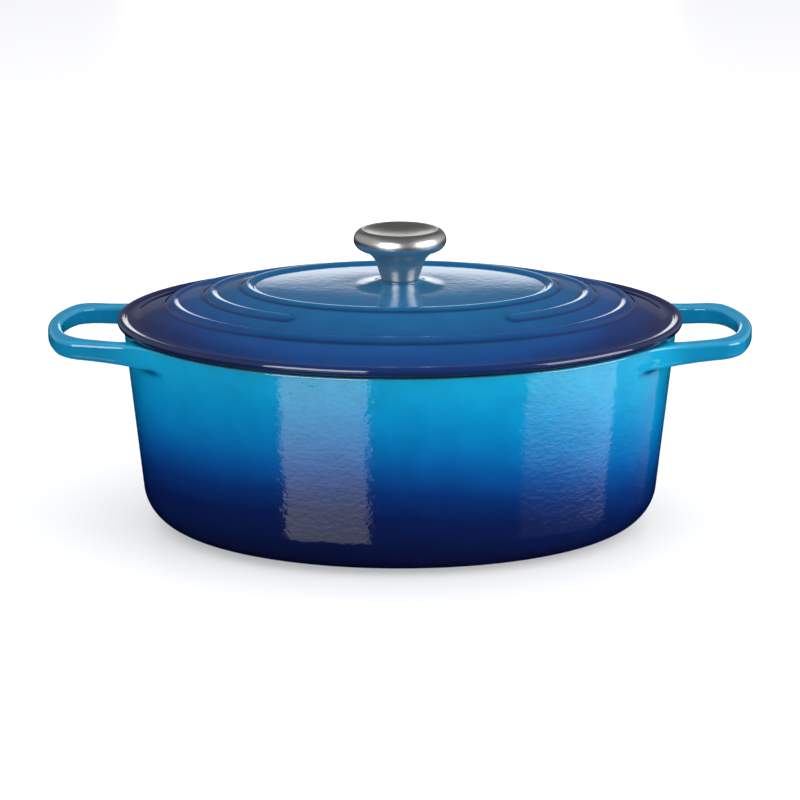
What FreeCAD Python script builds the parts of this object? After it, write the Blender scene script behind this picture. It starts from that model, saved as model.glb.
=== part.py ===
"""Oval cast iron dutch oven: enamelled pot with two loop handles, domed lid and a steel knob.

Units are millimetres. The origin is the centre of the pot's flat base, X runs along the handles,
-Y is the front and +Z is up. Every size is a cell of the sheet "dims", which the sketches and
features read through expressions.
"""
import FreeCAD, Part
import math
import os

import Sketcher
from FreeCAD import Vector

# name of the cell, value, what it is
DIMENSIONS = [
    # pot
    ("pot_half_length", 170.7, "outside of the pot at the rim, along X"),
    ("pot_half_width", 134.2, "outside of the pot at the rim, along Y"),
    ("pot_base_inset", 12.3, "how far the drafted wall comes in at the base plane"),
    ("pot_shoulder_height", 125.2, "top of the coloured wall"),
    ("pot_rim_height", 126.8, "top of the black rim, on which the lid rests"),
    ("pot_rim_inset", 1.9, "the black rim stands in from the outside of the wall"),
    ("pot_wall", 4.0, "thickness of the wall"),
    ("pot_floor", 4.5, "thickness of the floor"),
    ("pot_base_radius", 23.5, "outside corner between the wall and the base"),
    ("pot_cavity_radius", 19.0, "inside corner between the wall and the floor"),
    ("pot_shoulder_radius", 0.7, "rounded outer edge of the wall's top"),
    # handles
    ("handle_tip", 217.3, "outer end of each handle, along X"),
    ("handle_half_width", 53.0, "half the width of the loop where its sides are parallel"),
    ("handle_end_radius", 110.0, "shallow curve of the outer end"),
    ("handle_corner_radius", 17.5, "corner of the loop"),
    ("handle_flare_radius", 85.0, "curve in which the sides run into the wall"),
    ("handle_root_half_width", 72.0, "half the width of the root, inside the wall"),
    ("gap_tip", 208.8, "outer end of the finger gap, along X"),
    ("gap_end_radius", 80.0, "outer end of the finger gap"),
    ("gap_corner_radius", 22.0, "corner of the finger gap"),
    ("gap_side_angle", 11.0, "slant of the gap's sides, in degrees"),
    ("gap_root", 150.0, "where the gap's outline ends, inside the wall"),
    ("gap_root_half_width", 48.8, "half the width of the outline there"),
    ("handle_root_station", 160.0, "the X at which the root heights are given"),
    ("handle_root_top", 124.4, "height of the handle's top at the root station"),
    ("handle_tip_top", 127.3, "height of the handle's top at its outer end"),
    ("handle_root_under", 111.5, "height of the underside at the root station"),
    ("handle_tip_under", 117.0, "height of the underside at the outer end"),
    ("handle_blank_low", 90.0, "lowest plane of the slab that the handles are cut from"),
    ("handle_blank_high", 135.0, "highest plane of that slab"),
    ("trim_margin", 5.0, "how far the pieces that trim the slab reach past it"),
    ("handle_edge_radius", 3.2, "rounding of the handles' edges"),
    # lid, from the edge inwards
    ("lid_half_length", 174.5, "outside of the lid, along X"),
    ("lid_half_width", 138.1, "outside of the lid, along Y"),
    ("lid_edge_top", 132.2, "top of the half-round edge, whose bottom is the seat on the rim"),
    ("lid_crease_length", 165.5, "valley inside the edge, along X"),
    ("lid_crease_width", 129.2, "valley inside the edge, along Y"),
    ("lid_crease_height", 130.6, "height of the valley"),
    ("lid_slope_length", 157.5, "middle of the outer slope, along X"),
    ("lid_slope_width", 119.0, "middle of the outer slope, along Y"),
    ("lid_slope_height", 134.6, "height at the middle of the outer slope"),
    ("outer_ring_length", 140.6, "crest of the outer ring, along X"),
    ("outer_ring_width", 101.6, "crest of the outer ring, along Y"),
    ("outer_ring_base", 139.8, "height of the dome under the outer ring"),
    ("middle_ring_length", 117.4, "crest of the middle ring, along X"),
    ("middle_ring_width", 83.4, "crest of the middle ring, along Y"),
    ("middle_ring_base", 145.0, "height of the dome under the middle ring"),
    ("inner_ring_length", 94.3, "crest of the inner ring, along X"),
    ("inner_ring_width", 65.1, "crest of the inner ring, along Y"),
    ("inner_ring_base", 149.0, "height of the dome under the inner ring, and of the plateau"),
    ("ring_section_radius", 4.0, "round section of the rings"),
    ("ring_height", 1.8, "how far the rings stand up from the dome"),
    ("ring_end_radius", 3.9, "rounded ends of the middle ring"),
    ("ring_gap_half_width", 67.0, "half the gap at the front of the middle ring"),
    ("lid_thickness", 3.7, "thickness of the dome"),
    ("lid_mouth_length", 160.5, "mouth of the lid's hollow, along X"),
    ("lid_mouth_width", 124.0, "mouth of the lid's hollow, along Y"),
    ("skirt_thickness", 3.5, "thickness of the locating skirt"),
    ("skirt_depth", 3.0, "how far the skirt reaches into the pot"),
    ("nub_radius", 2.6, "stabiliser nubs on the skirt"),
    ("nub_depth", 5.0, "how far the nubs reach into the pot"),
    ("pedestal_top_height", 153.3, "seat of the knob"),
    ("pedestal_top_radius", 12.6, "radius of that seat"),
    ("pedestal_edge", 1.0, "straight edge between the seat and the flare"),
    ("pedestal_flare_radius", 29.0, "foot of the pedestal's flare"),
    ("pedestal_sink", 1.0, "how far the pedestal's foot is sunk into the dome"),
    ("screw_hole_radius", 3.4, "hole for the knob's screw"),
    # knob
    ("knob_neck_radius", 11.4, "foot of the knob's neck"),
    ("knob_throat_radius", 14.6, "neck below the grip"),
    ("knob_throat_height", 10.0, "height of that point over the seat"),
    ("knob_roll_radius", 6.5, "round section of the grip's edge"),
    ("knob_roll_centre", 22.1, "distance of that section's centre from the axis"),
    ("knob_roll_height", 25.1, "height of that centre over the seat"),
    ("knob_wall", 1.5, "thickness of the pressed steel"),
    ("knob_lip_height", 31.5, "height of the lip over the seat"),
    ("knob_lip_angle", 85.0, "where the grip's round section ends at the lip, in degrees"),
    ("knob_shelf_height", 10.4, "height of the neck's inner shelf over the seat"),
    ("knob_cap_radius", 21.6, "edge of the dished cap"),
    ("knob_cap_drop", 0.4, "the cap's edge lies this far below the lip"),
    ("knob_dish_depth", 2.8, "depth of the dished cap"),
    ("insert_radius", 8.0, "threaded bush in the neck"),
    ("insert_length", 11.5, "its length"),
    # fasteners
    ("screw_radius", 3.0, "shank of the knob's screw"),
    ("screw_reach", 10.0, "length of the shank over the knob's seat"),
    ("screw_head_radius", 6.0, "pan head"),
    ("screw_head_height", 3.6, "its height"),
    ("recess_length", 6.4, "cross recess, from end to end"),
    ("recess_width", 1.2, "its slots"),
    ("recess_depth", 1.9, "their depth"),
    ("flat_washer_radius", 8.5, "outside of the flat washer"),
    ("lock_washer_radius", 5.6, "outside of the split washer"),
    ("washer_bore", 3.2, "hole in both washers"),
    ("washer_thickness", 1.2, "thickness of both washers"),
    ("washer_split", 1.0, "gap in the split washer"),
]

SIZE = {name: value for name, value, meaning in DIMENSIONS}

# A sketch is first drawn at roughly these sizes, and its constraints then pull it to the sheet's.
DRAFT_HALF_LENGTH = 120.0
DRAFT_HALF_WIDTH = 90.0
DRAFT_RADIUS = 5.0
DRAFT_SLOT = [(-9, -1), (9, -1), (9, 1), (-9, 1)]
DRAFT_TRIM = [(0, 110), (230, 115), (230, 150), (0, 150)]
LEVEL_TOLERANCE = 0.01
LEAST_CUT = 1.0                 # a cut that removes less than this, in mm3, has missed
SHELF_START = math.radians(3)   # the neck's shelf is first drawn this far round its arc

doc = FreeCAD.newDocument("dutch_oven")


def fill_sheet():
    """Write the dimensions into the sheet, one row each, with the value's cell named."""
    sheet = doc.addObject("Spreadsheet::Sheet", "dims")
    for row, (name, value, meaning) in enumerate(DIMENSIONS, start=1):
        sheet.set(f"A{row}", name)
        sheet.set(f"B{row}", str(value))
        sheet.set(f"C{row}", meaning)
        sheet.setAlias(f"B{row}", name)
    doc.recompute()


# ---------------------------------------------------------------- helpers

def new_body(label):
    body = doc.addObject("PartDesign::Body", label)
    body.Label = label
    return body


def origin_plane(body, role):
    return next(item for item in body.Origin.OriginFeatures if item.Role == role)


def new_sketch(body, name, role="XY_Plane", height=None):
    """A sketch on one of the body's own planes; height is an expression along its normal."""
    sketch = body.newObject("Sketcher::SketchObject", f"{body.Label}_{name}")
    sketch.AttachmentSupport = [(origin_plane(body, role), "")]
    sketch.MapMode = "FlatFace"
    if height:
        sketch.setExpression("AttachmentOffset.Base.z", height)
    return sketch


def bind(sketch, name, constraint, expression):
    """Add a named sketch constraint and bind it to the sheet."""
    index = sketch.addConstraint(constraint)
    sketch.renameConstraint(index, name)
    sketch.setExpression(f"Constraints.{name}", expression)


def point_on_x_axis(sketch, geometry, point):
    sketch.addConstraint(Sketcher.Constraint("PointOnObject", geometry, point, -1))


def join(sketch, first, first_point, second, second_point):
    sketch.addConstraint(Sketcher.Constraint("Coincident", first, first_point, second, second_point))


def smooth_join(sketch, first, first_point, second, second_point):
    sketch.addConstraint(Sketcher.Constraint("Tangent", first, first_point, second, second_point))


def check(feature):
    """Recompute, and stop with the feature's name if it failed."""
    doc.recompute()
    if "Invalid" in feature.State or "Error" in feature.State:
        raise RuntimeError(f"{feature.Name} failed: {feature.State}")
    if feature.isDerivedFrom("PartDesign::Feature") and len(feature.Shape.Solids) != 1:
        raise RuntimeError(f"{feature.Name} isn't one solid")
    return feature


def oval(body, name, half_length, half_width, height):
    """An oval sketch at a height; the three sizes are expressions over the sheet."""
    sketch = new_sketch(body, name, "XY_Plane", height)
    add_oval(sketch, "", half_length, half_width)
    return check(sketch)


def add_oval(sketch, tag, half_length, half_width, start=None, end=None):
    """A centred ellipse, whole or from one angle to another, with its two axes bound."""
    ellipse = Part.Ellipse(Vector(0, 0, 0), DRAFT_HALF_LENGTH, DRAFT_HALF_WIDTH)
    if start is not None:
        ellipse = Part.ArcOfEllipse(ellipse, start, end)
    index = sketch.addGeometry(ellipse, False)
    sketch.exposeInternalGeometry(index)
    length_axis = index + 1
    width_axis = index + 2
    join(sketch, index, 3, -1, 1)
    sketch.addConstraint(Sketcher.Constraint("Horizontal", length_axis))
    length = Sketcher.Constraint("Distance", length_axis, 2 * DRAFT_HALF_LENGTH)
    width = Sketcher.Constraint("Distance", width_axis, 2 * DRAFT_HALF_WIDTH)
    bind(sketch, f"length{tag}", length, f"2 * {half_length}")
    bind(sketch, f"width{tag}", width, f"2 * {half_width}")
    return index


def add_polygon(sketch, points):
    """A closed chain of lines through the points, joined end to end."""
    lines = []
    for start, end in zip(points, points[1:] + points[:1]):
        segment = Part.LineSegment(Vector(*start, 0), Vector(*end, 0))
        lines.append(sketch.addGeometry(segment, False))
    for line, following in zip(lines, lines[1:] + lines[:1]):
        join(sketch, line, 2, following, 1)
    return lines


def place_point(sketch, tag, geometry, point, across, up):
    """Bind a point's two coordinates in the sketch's plane; None leaves that one alone."""
    here = sketch.getPoint(geometry, point)
    if across:
        distance = Sketcher.Constraint("DistanceX", -1, 1, geometry, point, here.x)
        bind(sketch, f"{tag}_across", distance, across)
    if up:
        distance = Sketcher.Constraint("DistanceY", -1, 1, geometry, point, here.y)
        bind(sketch, f"{tag}_up", distance, up)


def add_arc(sketch, centre, radius, start, end):
    """A circular arc, counterclockwise between two angles in radians."""
    circle = Part.Circle(Vector(*centre, 0), Vector(0, 0, 1), radius)
    return sketch.addGeometry(Part.ArcOfCircle(circle, start, end), False)


def add_line(sketch, start, end):
    return sketch.addGeometry(Part.LineSegment(Vector(*start, 0), Vector(*end, 0)), False)


def add_loft(body, kind, name, ovals):
    """A straight-sided loft through oval sketches, added to the body or cut from it."""
    loft = body.newObject(f"PartDesign::{kind}Loft", f"{body.Label}_{name}")
    loft.Profile = ovals[0]
    loft.Sections = ovals[1:]
    loft.Ruled = True
    return check(loft)


def add_pad(body, name, sketch, length):
    pad = body.newObject("PartDesign::Pad", f"{body.Label}_{name}")
    pad.Profile = sketch
    pad.setExpression("Length", length)
    return check(pad)


def cut(body, name, sketch, depth=None, both_ways=False):
    """Pocket a sketch upwards to a depth, or right through; stop if it removed nothing."""
    before = body.Shape.Volume
    pocket = body.newObject("PartDesign::Pocket", f"{body.Label}_{name}")
    pocket.Profile = sketch
    if depth:
        pocket.setExpression("Length", depth)
    else:
        pocket.Type = "ThroughAll"
    if both_ways:
        pocket.SideType = "Symmetric"
    else:
        pocket.Reversed = True
    check(pocket)
    if pocket.Shape.Volume > before - LEAST_CUT:
        raise RuntimeError(f"{pocket.Name} cut nothing")


def add_revolution(body, name, sketch):
    """Turn a profile drawn on the XZ plane round the Z axis."""
    revolution = body.newObject("PartDesign::Revolution", f"{body.Label}_{name}")
    revolution.Profile = sketch
    revolution.ReferenceAxis = (sketch, ["V_Axis"])
    revolution.Angle = 360
    return check(revolution)


def round_edges(body, name, radius, wanted):
    """Fillet those edges of the body's tip for which wanted(edge) is true."""
    base = body.Tip
    names = [f"Edge{i}" for i, edge in enumerate(base.Shape.Edges, start=1) if wanted(edge)]
    fillet = body.newObject("PartDesign::Fillet", f"{body.Label}_{name}")
    fillet.Base = (base, names)
    fillet.setExpression("Radius", radius)
    return check(fillet)


def mirror_body(body, name, role):
    mirror = body.newObject("PartDesign::Mirrored", f"{body.Label}_{name}")
    mirror.TransformMode = "Whole shape"
    mirror.MirrorPlane = (origin_plane(body, role), [""])
    body.Tip = mirror
    return check(mirror)


def level(edge, height):
    """True for an edge that lies in the horizontal plane at this height."""
    box = edge.BoundBox
    return abs(box.ZMin - height) < LEVEL_TOLERANCE and abs(box.ZMax - height) < LEVEL_TOLERANCE


# ---------------------------------------------------------------- pot

def handle_outline(body):
    """One quarter of the handle's outer outline, from its tip to its root in the wall."""
    sketch = new_sketch(body, "outline", "XY_Plane", "dims.handle_blank_low")
    tip = SIZE["handle_tip"]
    side = SIZE["handle_half_width"]
    end_radius = SIZE["handle_end_radius"]
    corner = SIZE["handle_corner_radius"]
    flare = SIZE["handle_flare_radius"]
    root = SIZE["handle_root_half_width"]
    end_centre = tip - end_radius
    corner_centre = end_centre + math.sqrt((end_radius - corner) ** 2 - (side - corner) ** 2)
    turn = math.atan2(side - corner, corner_centre - end_centre)
    sweep = math.acos(1 - (root - side) / flare)
    root_x = corner_centre - flare * math.sin(sweep)

    axis_line = add_line(sketch, (0, 0), (tip, 0))
    end_arc = add_arc(sketch, (end_centre, 0), end_radius, 0, turn)
    corner_arc = add_arc(sketch, (corner_centre, side - corner), corner, turn, math.pi / 2)
    flare_arc = add_arc(sketch, (corner_centre, side + flare), flare, 1.5 * math.pi - sweep, 1.5 * math.pi)
    root_line = add_line(sketch, (root_x, root), (0, root))
    middle_line = add_line(sketch, (0, root), (0, 0))

    join(sketch, axis_line, 1, -1, 1)
    point_on_x_axis(sketch, axis_line, 2)
    join(sketch, axis_line, 2, end_arc, 1)
    point_on_x_axis(sketch, end_arc, 3)
    smooth_join(sketch, end_arc, 2, corner_arc, 1)
    smooth_join(sketch, corner_arc, 2, flare_arc, 2)
    sketch.addConstraint(Sketcher.Constraint("Vertical", corner_arc, 3, flare_arc, 3))
    join(sketch, flare_arc, 1, root_line, 1)
    sketch.addConstraint(Sketcher.Constraint("Horizontal", root_line))
    join(sketch, root_line, 2, middle_line, 1)
    sketch.addConstraint(Sketcher.Constraint("Vertical", middle_line))
    join(sketch, middle_line, 2, -1, 1)
    bind(sketch, "end_radius", Sketcher.Constraint("Radius", end_arc, end_radius), "dims.handle_end_radius")
    bind(sketch, "corner", Sketcher.Constraint("Radius", corner_arc, corner), "dims.handle_corner_radius")
    bind(sketch, "flare", Sketcher.Constraint("Radius", flare_arc, flare), "dims.handle_flare_radius")
    place_point(sketch, "tip", axis_line, 2, "dims.handle_tip", None)
    place_point(sketch, "side", corner_arc, 2, None, "dims.handle_half_width")
    place_point(sketch, "root", root_line, 1, None, "dims.handle_root_half_width")
    return check(sketch)


def gap_outline(body):
    """One quarter of the finger gap's outline; it ends inside the wall."""
    sketch = new_sketch(body, "gap", "XY_Plane", "dims.handle_blank_low")
    tip = SIZE["gap_tip"]
    root = SIZE["gap_root"]
    root_side = SIZE["gap_root_half_width"]
    end_radius = SIZE["gap_end_radius"]
    corner = SIZE["gap_corner_radius"]
    slant = math.radians(SIZE["gap_side_angle"])
    end_centre = tip - end_radius
    # the corner's centre slides along a line beside the slanted side until it meets the end arc
    foot_x = root - corner * math.sin(slant) - end_centre
    foot_y = root_side - corner * math.cos(slant)
    half = foot_x * math.cos(slant) - foot_y * math.sin(slant)
    slide = -half + math.sqrt(half ** 2 - foot_x ** 2 - foot_y ** 2 + (end_radius - corner) ** 2)
    corner_x = end_centre + foot_x + slide * math.cos(slant)
    corner_y = foot_y - slide * math.sin(slant)
    turn = math.atan2(corner_y, corner_x - end_centre)
    side_angle = math.pi / 2 - slant
    side_start = (corner_x + corner * math.cos(side_angle), corner_y + corner * math.sin(side_angle))

    axis_line = add_line(sketch, (root, 0), (tip, 0))
    end_arc = add_arc(sketch, (end_centre, 0), end_radius, 0, turn)
    corner_arc = add_arc(sketch, (corner_x, corner_y), corner, turn, side_angle)
    side_line = add_line(sketch, side_start, (root, root_side))
    root_line = add_line(sketch, (root, root_side), (root, 0))

    point_on_x_axis(sketch, axis_line, 1)
    point_on_x_axis(sketch, axis_line, 2)
    join(sketch, axis_line, 2, end_arc, 1)
    point_on_x_axis(sketch, end_arc, 3)
    smooth_join(sketch, end_arc, 2, corner_arc, 1)
    smooth_join(sketch, corner_arc, 2, side_line, 1)
    join(sketch, side_line, 2, root_line, 1)
    join(sketch, root_line, 2, axis_line, 1)
    sketch.addConstraint(Sketcher.Constraint("Vertical", root_line))
    bind(sketch, "end_radius", Sketcher.Constraint("Radius", end_arc, end_radius), "dims.gap_end_radius")
    bind(sketch, "corner", Sketcher.Constraint("Radius", corner_arc, corner), "dims.gap_corner_radius")
    lean = Sketcher.Constraint("Angle", side_line, math.pi - slant)
    bind(sketch, "slant", lean, "180 - dims.gap_side_angle")
    place_point(sketch, "tip", axis_line, 2, "dims.gap_tip", None)
    place_point(sketch, "root", side_line, 2, "dims.gap_root", "dims.gap_root_half_width")
    return check(sketch)


def slope_expression(at, root, tip):
    """Height at a station along X of the line through its root and tip heights."""
    run = "(dims.handle_tip - dims.handle_root_station)"
    return f"{root} + ({tip} - {root}) * ({at} - dims.handle_root_station) / {run}"


def side_trim(body, name, root, tip, limit):
    """On the XZ plane, the area between a sloping line and a level limit; it trims the slab."""
    sketch = new_sketch(body, name, "XZ_Plane")
    reach = "(dims.handle_tip + dims.trim_margin)"
    lines = add_polygon(sketch, DRAFT_TRIM)
    corners = [
        (None, slope_expression("0", root, tip)),
        (reach, slope_expression(reach, root, tip)),
        (reach, limit),
        (None, limit),
    ]
    for index, (line, (across, up)) in enumerate(zip(lines, corners)):
        place_point(sketch, f"corner{index}", line, 1, across, up)
        if across is None:
            sketch.addConstraint(Sketcher.Constraint("PointOnObject", line, 1, -2))
    return check(sketch)


def on_handle(edge):
    """True for the edges round the handles' upper and lower faces."""
    box = edge.BoundBox
    upright = box.ZLength > 2 * SIZE["handle_edge_radius"]
    outside = max(abs(box.XMin), abs(box.XMax)) > SIZE["handle_root_station"]
    return outside and not upright


def on_shoulder(edge):
    """True for the outer edge at the top of the coloured wall."""
    rim_half_length = SIZE["pot_half_length"] - SIZE["pot_rim_inset"] / 2
    return level(edge, SIZE["pot_shoulder_height"]) and edge.BoundBox.XMax > rim_half_length


def make_pot():
    body = new_body("pot")
    low = "dims.handle_blank_low"
    high = "dims.handle_blank_high"
    add_pad(body, "slab", handle_outline(body), f"{high} - {low}")
    cut(body, "gap_cut", gap_outline(body))
    above = side_trim(body, "top_line", "dims.handle_root_top", "dims.handle_tip_top",
                      f"{high} + dims.trim_margin")
    cut(body, "top_trim", above, both_ways=True)
    under = side_trim(body, "under_line", "dims.handle_root_under", "dims.handle_tip_under",
                      f"{low} - dims.trim_margin")
    cut(body, "under_trim", under, both_ways=True)
    mirror_body(body, "other_side", "XZ_Plane")
    mirror_body(body, "other_end", "YZ_Plane")
    round_edges(body, "handle_edges", "dims.handle_edge_radius", on_handle)

    outside = [
        oval(body, "base_oval", "(dims.pot_half_length - dims.pot_base_inset)",
             "(dims.pot_half_width - dims.pot_base_inset)", "0"),
        oval(body, "shoulder_oval", "dims.pot_half_length", "dims.pot_half_width",
             "dims.pot_shoulder_height"),
    ]
    add_loft(body, "Additive", "wall", outside)
    rim = oval(body, "rim_oval", "(dims.pot_half_length - dims.pot_rim_inset)",
               "(dims.pot_half_width - dims.pot_rim_inset)", "dims.pot_shoulder_height")
    add_pad(body, "rim", rim, "dims.pot_rim_height - dims.pot_shoulder_height")

    inset = "(dims.pot_base_inset + dims.pot_wall)"
    inside = [
        oval(body, "floor_oval", f"(dims.pot_half_length - {inset})", f"(dims.pot_half_width - {inset})",
             "dims.pot_floor"),
        oval(body, "mouth_oval", "(dims.pot_half_length - dims.pot_wall)",
             "(dims.pot_half_width - dims.pot_wall)", "dims.pot_rim_height"),
    ]
    add_loft(body, "Subtractive", "cavity", inside)
    floor = SIZE["pot_floor"]
    round_edges(body, "cavity_corner", "dims.pot_cavity_radius", lambda edge: level(edge, floor))
    round_edges(body, "base_corner", "dims.pot_base_radius", lambda edge: level(edge, 0))
    round_edges(body, "shoulder_edge", "dims.pot_shoulder_radius", on_shoulder)
    return body


# ---------------------------------------------------------------- lid

def lid_edge_stations():
    """The lid's edge is half round, from its underside at the seat to its top."""
    radius = "((dims.lid_edge_top - dims.pot_rim_height) / 2)"
    stations = []
    for degrees in range(-90, 91, 30):
        inset = f"{radius} * (1 - cos({degrees} deg))"
        rise = f"{radius} * (1 + sin({degrees} deg))"
        stations.append((f"edge_{degrees + 90}", f"(dims.lid_half_length - {inset})",
                         f"(dims.lid_half_width - {inset})", f"dims.pot_rim_height + {rise}"))
    return stations


def lid_dome_stations():
    """The lid's outside from its crease up to the plateau: name, half length, half width, height."""
    return [
        ("crease", "dims.lid_crease_length", "dims.lid_crease_width", "dims.lid_crease_height"),
        ("slope", "dims.lid_slope_length", "dims.lid_slope_width", "dims.lid_slope_height"),
        ("outer", "dims.outer_ring_length", "dims.outer_ring_width", "dims.outer_ring_base"),
        ("middle", "dims.middle_ring_length", "dims.middle_ring_width", "dims.middle_ring_base"),
        ("inner", "dims.inner_ring_length", "dims.inner_ring_width", "dims.inner_ring_base"),
    ]


def lid_hollow_stations():
    """The same dome, one thickness lower, from the lid's mouth up."""
    stations = [("mouth", "dims.lid_mouth_length", "dims.lid_mouth_width", "dims.pot_rim_height")]
    for name, length, width, height in lid_dome_stations()[1:]:
        drop = "dims.lid_thickness"
        stations.append((f"under_{name}", f"({length} - {drop})", f"({width} - {drop})",
                         f"{height} - {drop}"))
    return stations


def add_ring(body, name, gap=False):
    """A raised ring on the dome: a round bar sunk into it, whole or with a gap at the front."""
    length = f"dims.{name}_ring_length"
    width = f"dims.{name}_ring_width"
    centre = f"dims.{name}_ring_base + dims.ring_height - dims.ring_section_radius"
    path = new_sketch(body, f"{name}_path", "XY_Plane", centre)
    if gap:
        half_gap = math.asin(SIZE["ring_gap_half_width"] / SIZE[f"{name}_ring_length"])
        start = 1.5 * math.pi + half_gap
        end = 3.5 * math.pi - half_gap
        index = add_oval(path, "", length, width, start, end)
        place_point(path, "gap_right", index, 1, "dims.ring_gap_half_width", None)
        place_point(path, "gap_left", index, 2, "-dims.ring_gap_half_width", None)
    else:
        add_oval(path, "", length, width)
    check(path)

    section = new_sketch(body, f"{name}_section", "YZ_Plane")
    radius = SIZE["ring_section_radius"]
    crest = Vector(SIZE[f"{name}_ring_width"], SIZE[f"{name}_ring_base"], 0)
    circle = Part.Circle(crest, Vector(0, 0, 1), radius)
    index = section.addGeometry(circle, False)
    bind(section, "radius", Sketcher.Constraint("Radius", index, radius), "dims.ring_section_radius")
    place_point(section, "centre", index, 3, width, centre)
    check(section)

    pipe = body.newObject("PartDesign::AdditivePipe", f"{body.Label}_{name}_ring")
    pipe.Profile = section
    pipe.Spine = (path, [])
    check(pipe)
    if gap:
        front = f"-{width} * sqrt(1 - (dims.ring_gap_half_width / {length}) ^ 2)"
        for side, x in (("left", "-dims.ring_gap_half_width"), ("right", "dims.ring_gap_half_width")):
            ball = body.newObject("PartDesign::AdditiveSphere", f"{body.Label}_{name}_{side}_end")
            ball.AttachmentSupport = [(origin_plane(body, "XY_Plane"), "")]
            ball.MapMode = "FlatFace"
            ball.setExpression("Radius", "dims.ring_end_radius")
            ball.setExpression("AttachmentOffset.Base.x", x)
            ball.setExpression("AttachmentOffset.Base.y", front)
            ball.setExpression("AttachmentOffset.Base.z", centre)
            check(ball)


def pedestal_profile(body):
    """The flared boss at the lid's centre, on which the knob sits."""
    sketch = new_sketch(body, "pedestal_profile", "XZ_Plane")
    top = SIZE["pedestal_top_height"]
    base = SIZE["inner_ring_base"]
    inner = SIZE["pedestal_top_radius"]
    outer = SIZE["pedestal_flare_radius"]
    edge = SIZE["pedestal_edge"]
    sunk = base - SIZE["pedestal_sink"]
    rise = top - edge - base
    run = outer - inner
    flare = (run ** 2 + rise ** 2) / (2 * rise)
    start = math.atan2(rise - flare, -run) + 2 * math.pi
    arc = add_arc(sketch, (outer, base + flare), flare, start, 1.5 * math.pi)
    chain = [
        add_line(sketch, (outer, base), (outer, sunk)),
        add_line(sketch, (outer, sunk), (0, sunk)),
        add_line(sketch, (0, sunk), (0, top)),
        add_line(sketch, (0, top), (inner, top)),
        add_line(sketch, (inner, top), (inner, top - edge)),
    ]
    join(sketch, arc, 2, chain[0], 1)
    for line, following in zip(chain, chain[1:]):
        join(sketch, line, 2, following, 1)
    join(sketch, chain[-1], 2, arc, 1)
    for line in (chain[0], chain[4]):
        sketch.addConstraint(Sketcher.Constraint("Vertical", line))
    run_text = "(dims.pedestal_flare_radius - dims.pedestal_top_radius)"
    rise_text = "(dims.pedestal_top_height - dims.pedestal_edge - dims.inner_ring_base)"
    bind(sketch, "flare", Sketcher.Constraint("Radius", arc, flare),
         f"({run_text} ^ 2 + {rise_text} ^ 2) / (2 * {rise_text})")
    for line in (chain[1], chain[3]):
        sketch.addConstraint(Sketcher.Constraint("Horizontal", line))
    sketch.addConstraint(Sketcher.Constraint("PointOnObject", chain[2], 1, -2))
    sketch.addConstraint(Sketcher.Constraint("PointOnObject", chain[2], 2, -2))
    place_point(sketch, "foot", chain[0], 1, "dims.pedestal_flare_radius", "dims.inner_ring_base")
    place_point(sketch, "sunk", chain[1], 1, None, "dims.inner_ring_base - dims.pedestal_sink")
    place_point(sketch, "seat", chain[4], 1, "dims.pedestal_top_radius", "dims.pedestal_top_height")
    place_point(sketch, "neck", chain[4], 2, None, "dims.pedestal_top_height - dims.pedestal_edge")
    return check(sketch)


def circle_sketch(body, name, height, circles):
    """Circles of bound radius at bound places; each is radius, x and y, with None for zero."""
    sketch = new_sketch(body, name, "XY_Plane", height)
    for count, (radius, x, y) in enumerate(circles):
        circle = Part.Circle(Vector(0, 0, 0), Vector(0, 0, 1), DRAFT_RADIUS)
        index = sketch.addGeometry(circle, False)
        bind(sketch, f"radius{count}", Sketcher.Constraint("Radius", index, DRAFT_RADIUS), radius)
        if x is None:
            sketch.addConstraint(Sketcher.Constraint("PointOnObject", index, 3, -2))
        if y is None:
            point_on_x_axis(sketch, index, 3)
        place_point(sketch, f"place{count}", index, 3, x, y)
    return check(sketch)


def make_lid():
    body = new_body("lid")
    dome = [oval(body, *station) for station in lid_edge_stations() + lid_dome_stations()]
    add_loft(body, "Additive", "dome", dome)
    add_revolution(body, "pedestal", pedestal_profile(body))
    for name in ("outer", "middle", "inner"):
        add_ring(body, name, gap=name == "middle")
    hollow = [oval(body, *station) for station in lid_hollow_stations()]
    add_loft(body, "Subtractive", "hollow", hollow)

    skirt = new_sketch(body, "skirt_ovals", "XY_Plane", "dims.pot_rim_height - dims.skirt_depth")
    add_oval(skirt, "_inner", "dims.lid_mouth_length", "dims.lid_mouth_width")
    add_oval(skirt, "_outer", "(dims.lid_mouth_length + dims.skirt_thickness)",
             "(dims.lid_mouth_width + dims.skirt_thickness)")
    add_pad(body, "skirt", check(skirt), "dims.skirt_depth")
    along = "(dims.lid_mouth_length + dims.nub_radius)"
    across = "(dims.lid_mouth_width + dims.nub_radius)"
    places = [(along, None), (f"-{along}", None), (None, across), (None, f"-{across}")]
    nubs = circle_sketch(body, "nub_circles", "dims.pot_rim_height - dims.nub_depth",
                         [("dims.nub_radius", x, y) for x, y in places])
    add_pad(body, "nubs", nubs, "dims.nub_depth")
    hole = circle_sketch(body, "hole_circle", "dims.pot_rim_height",
                         [("dims.screw_hole_radius", None, None)])
    cut(body, "screw_hole", hole)
    return body


# ---------------------------------------------------------------- knob and its fasteners

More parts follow.
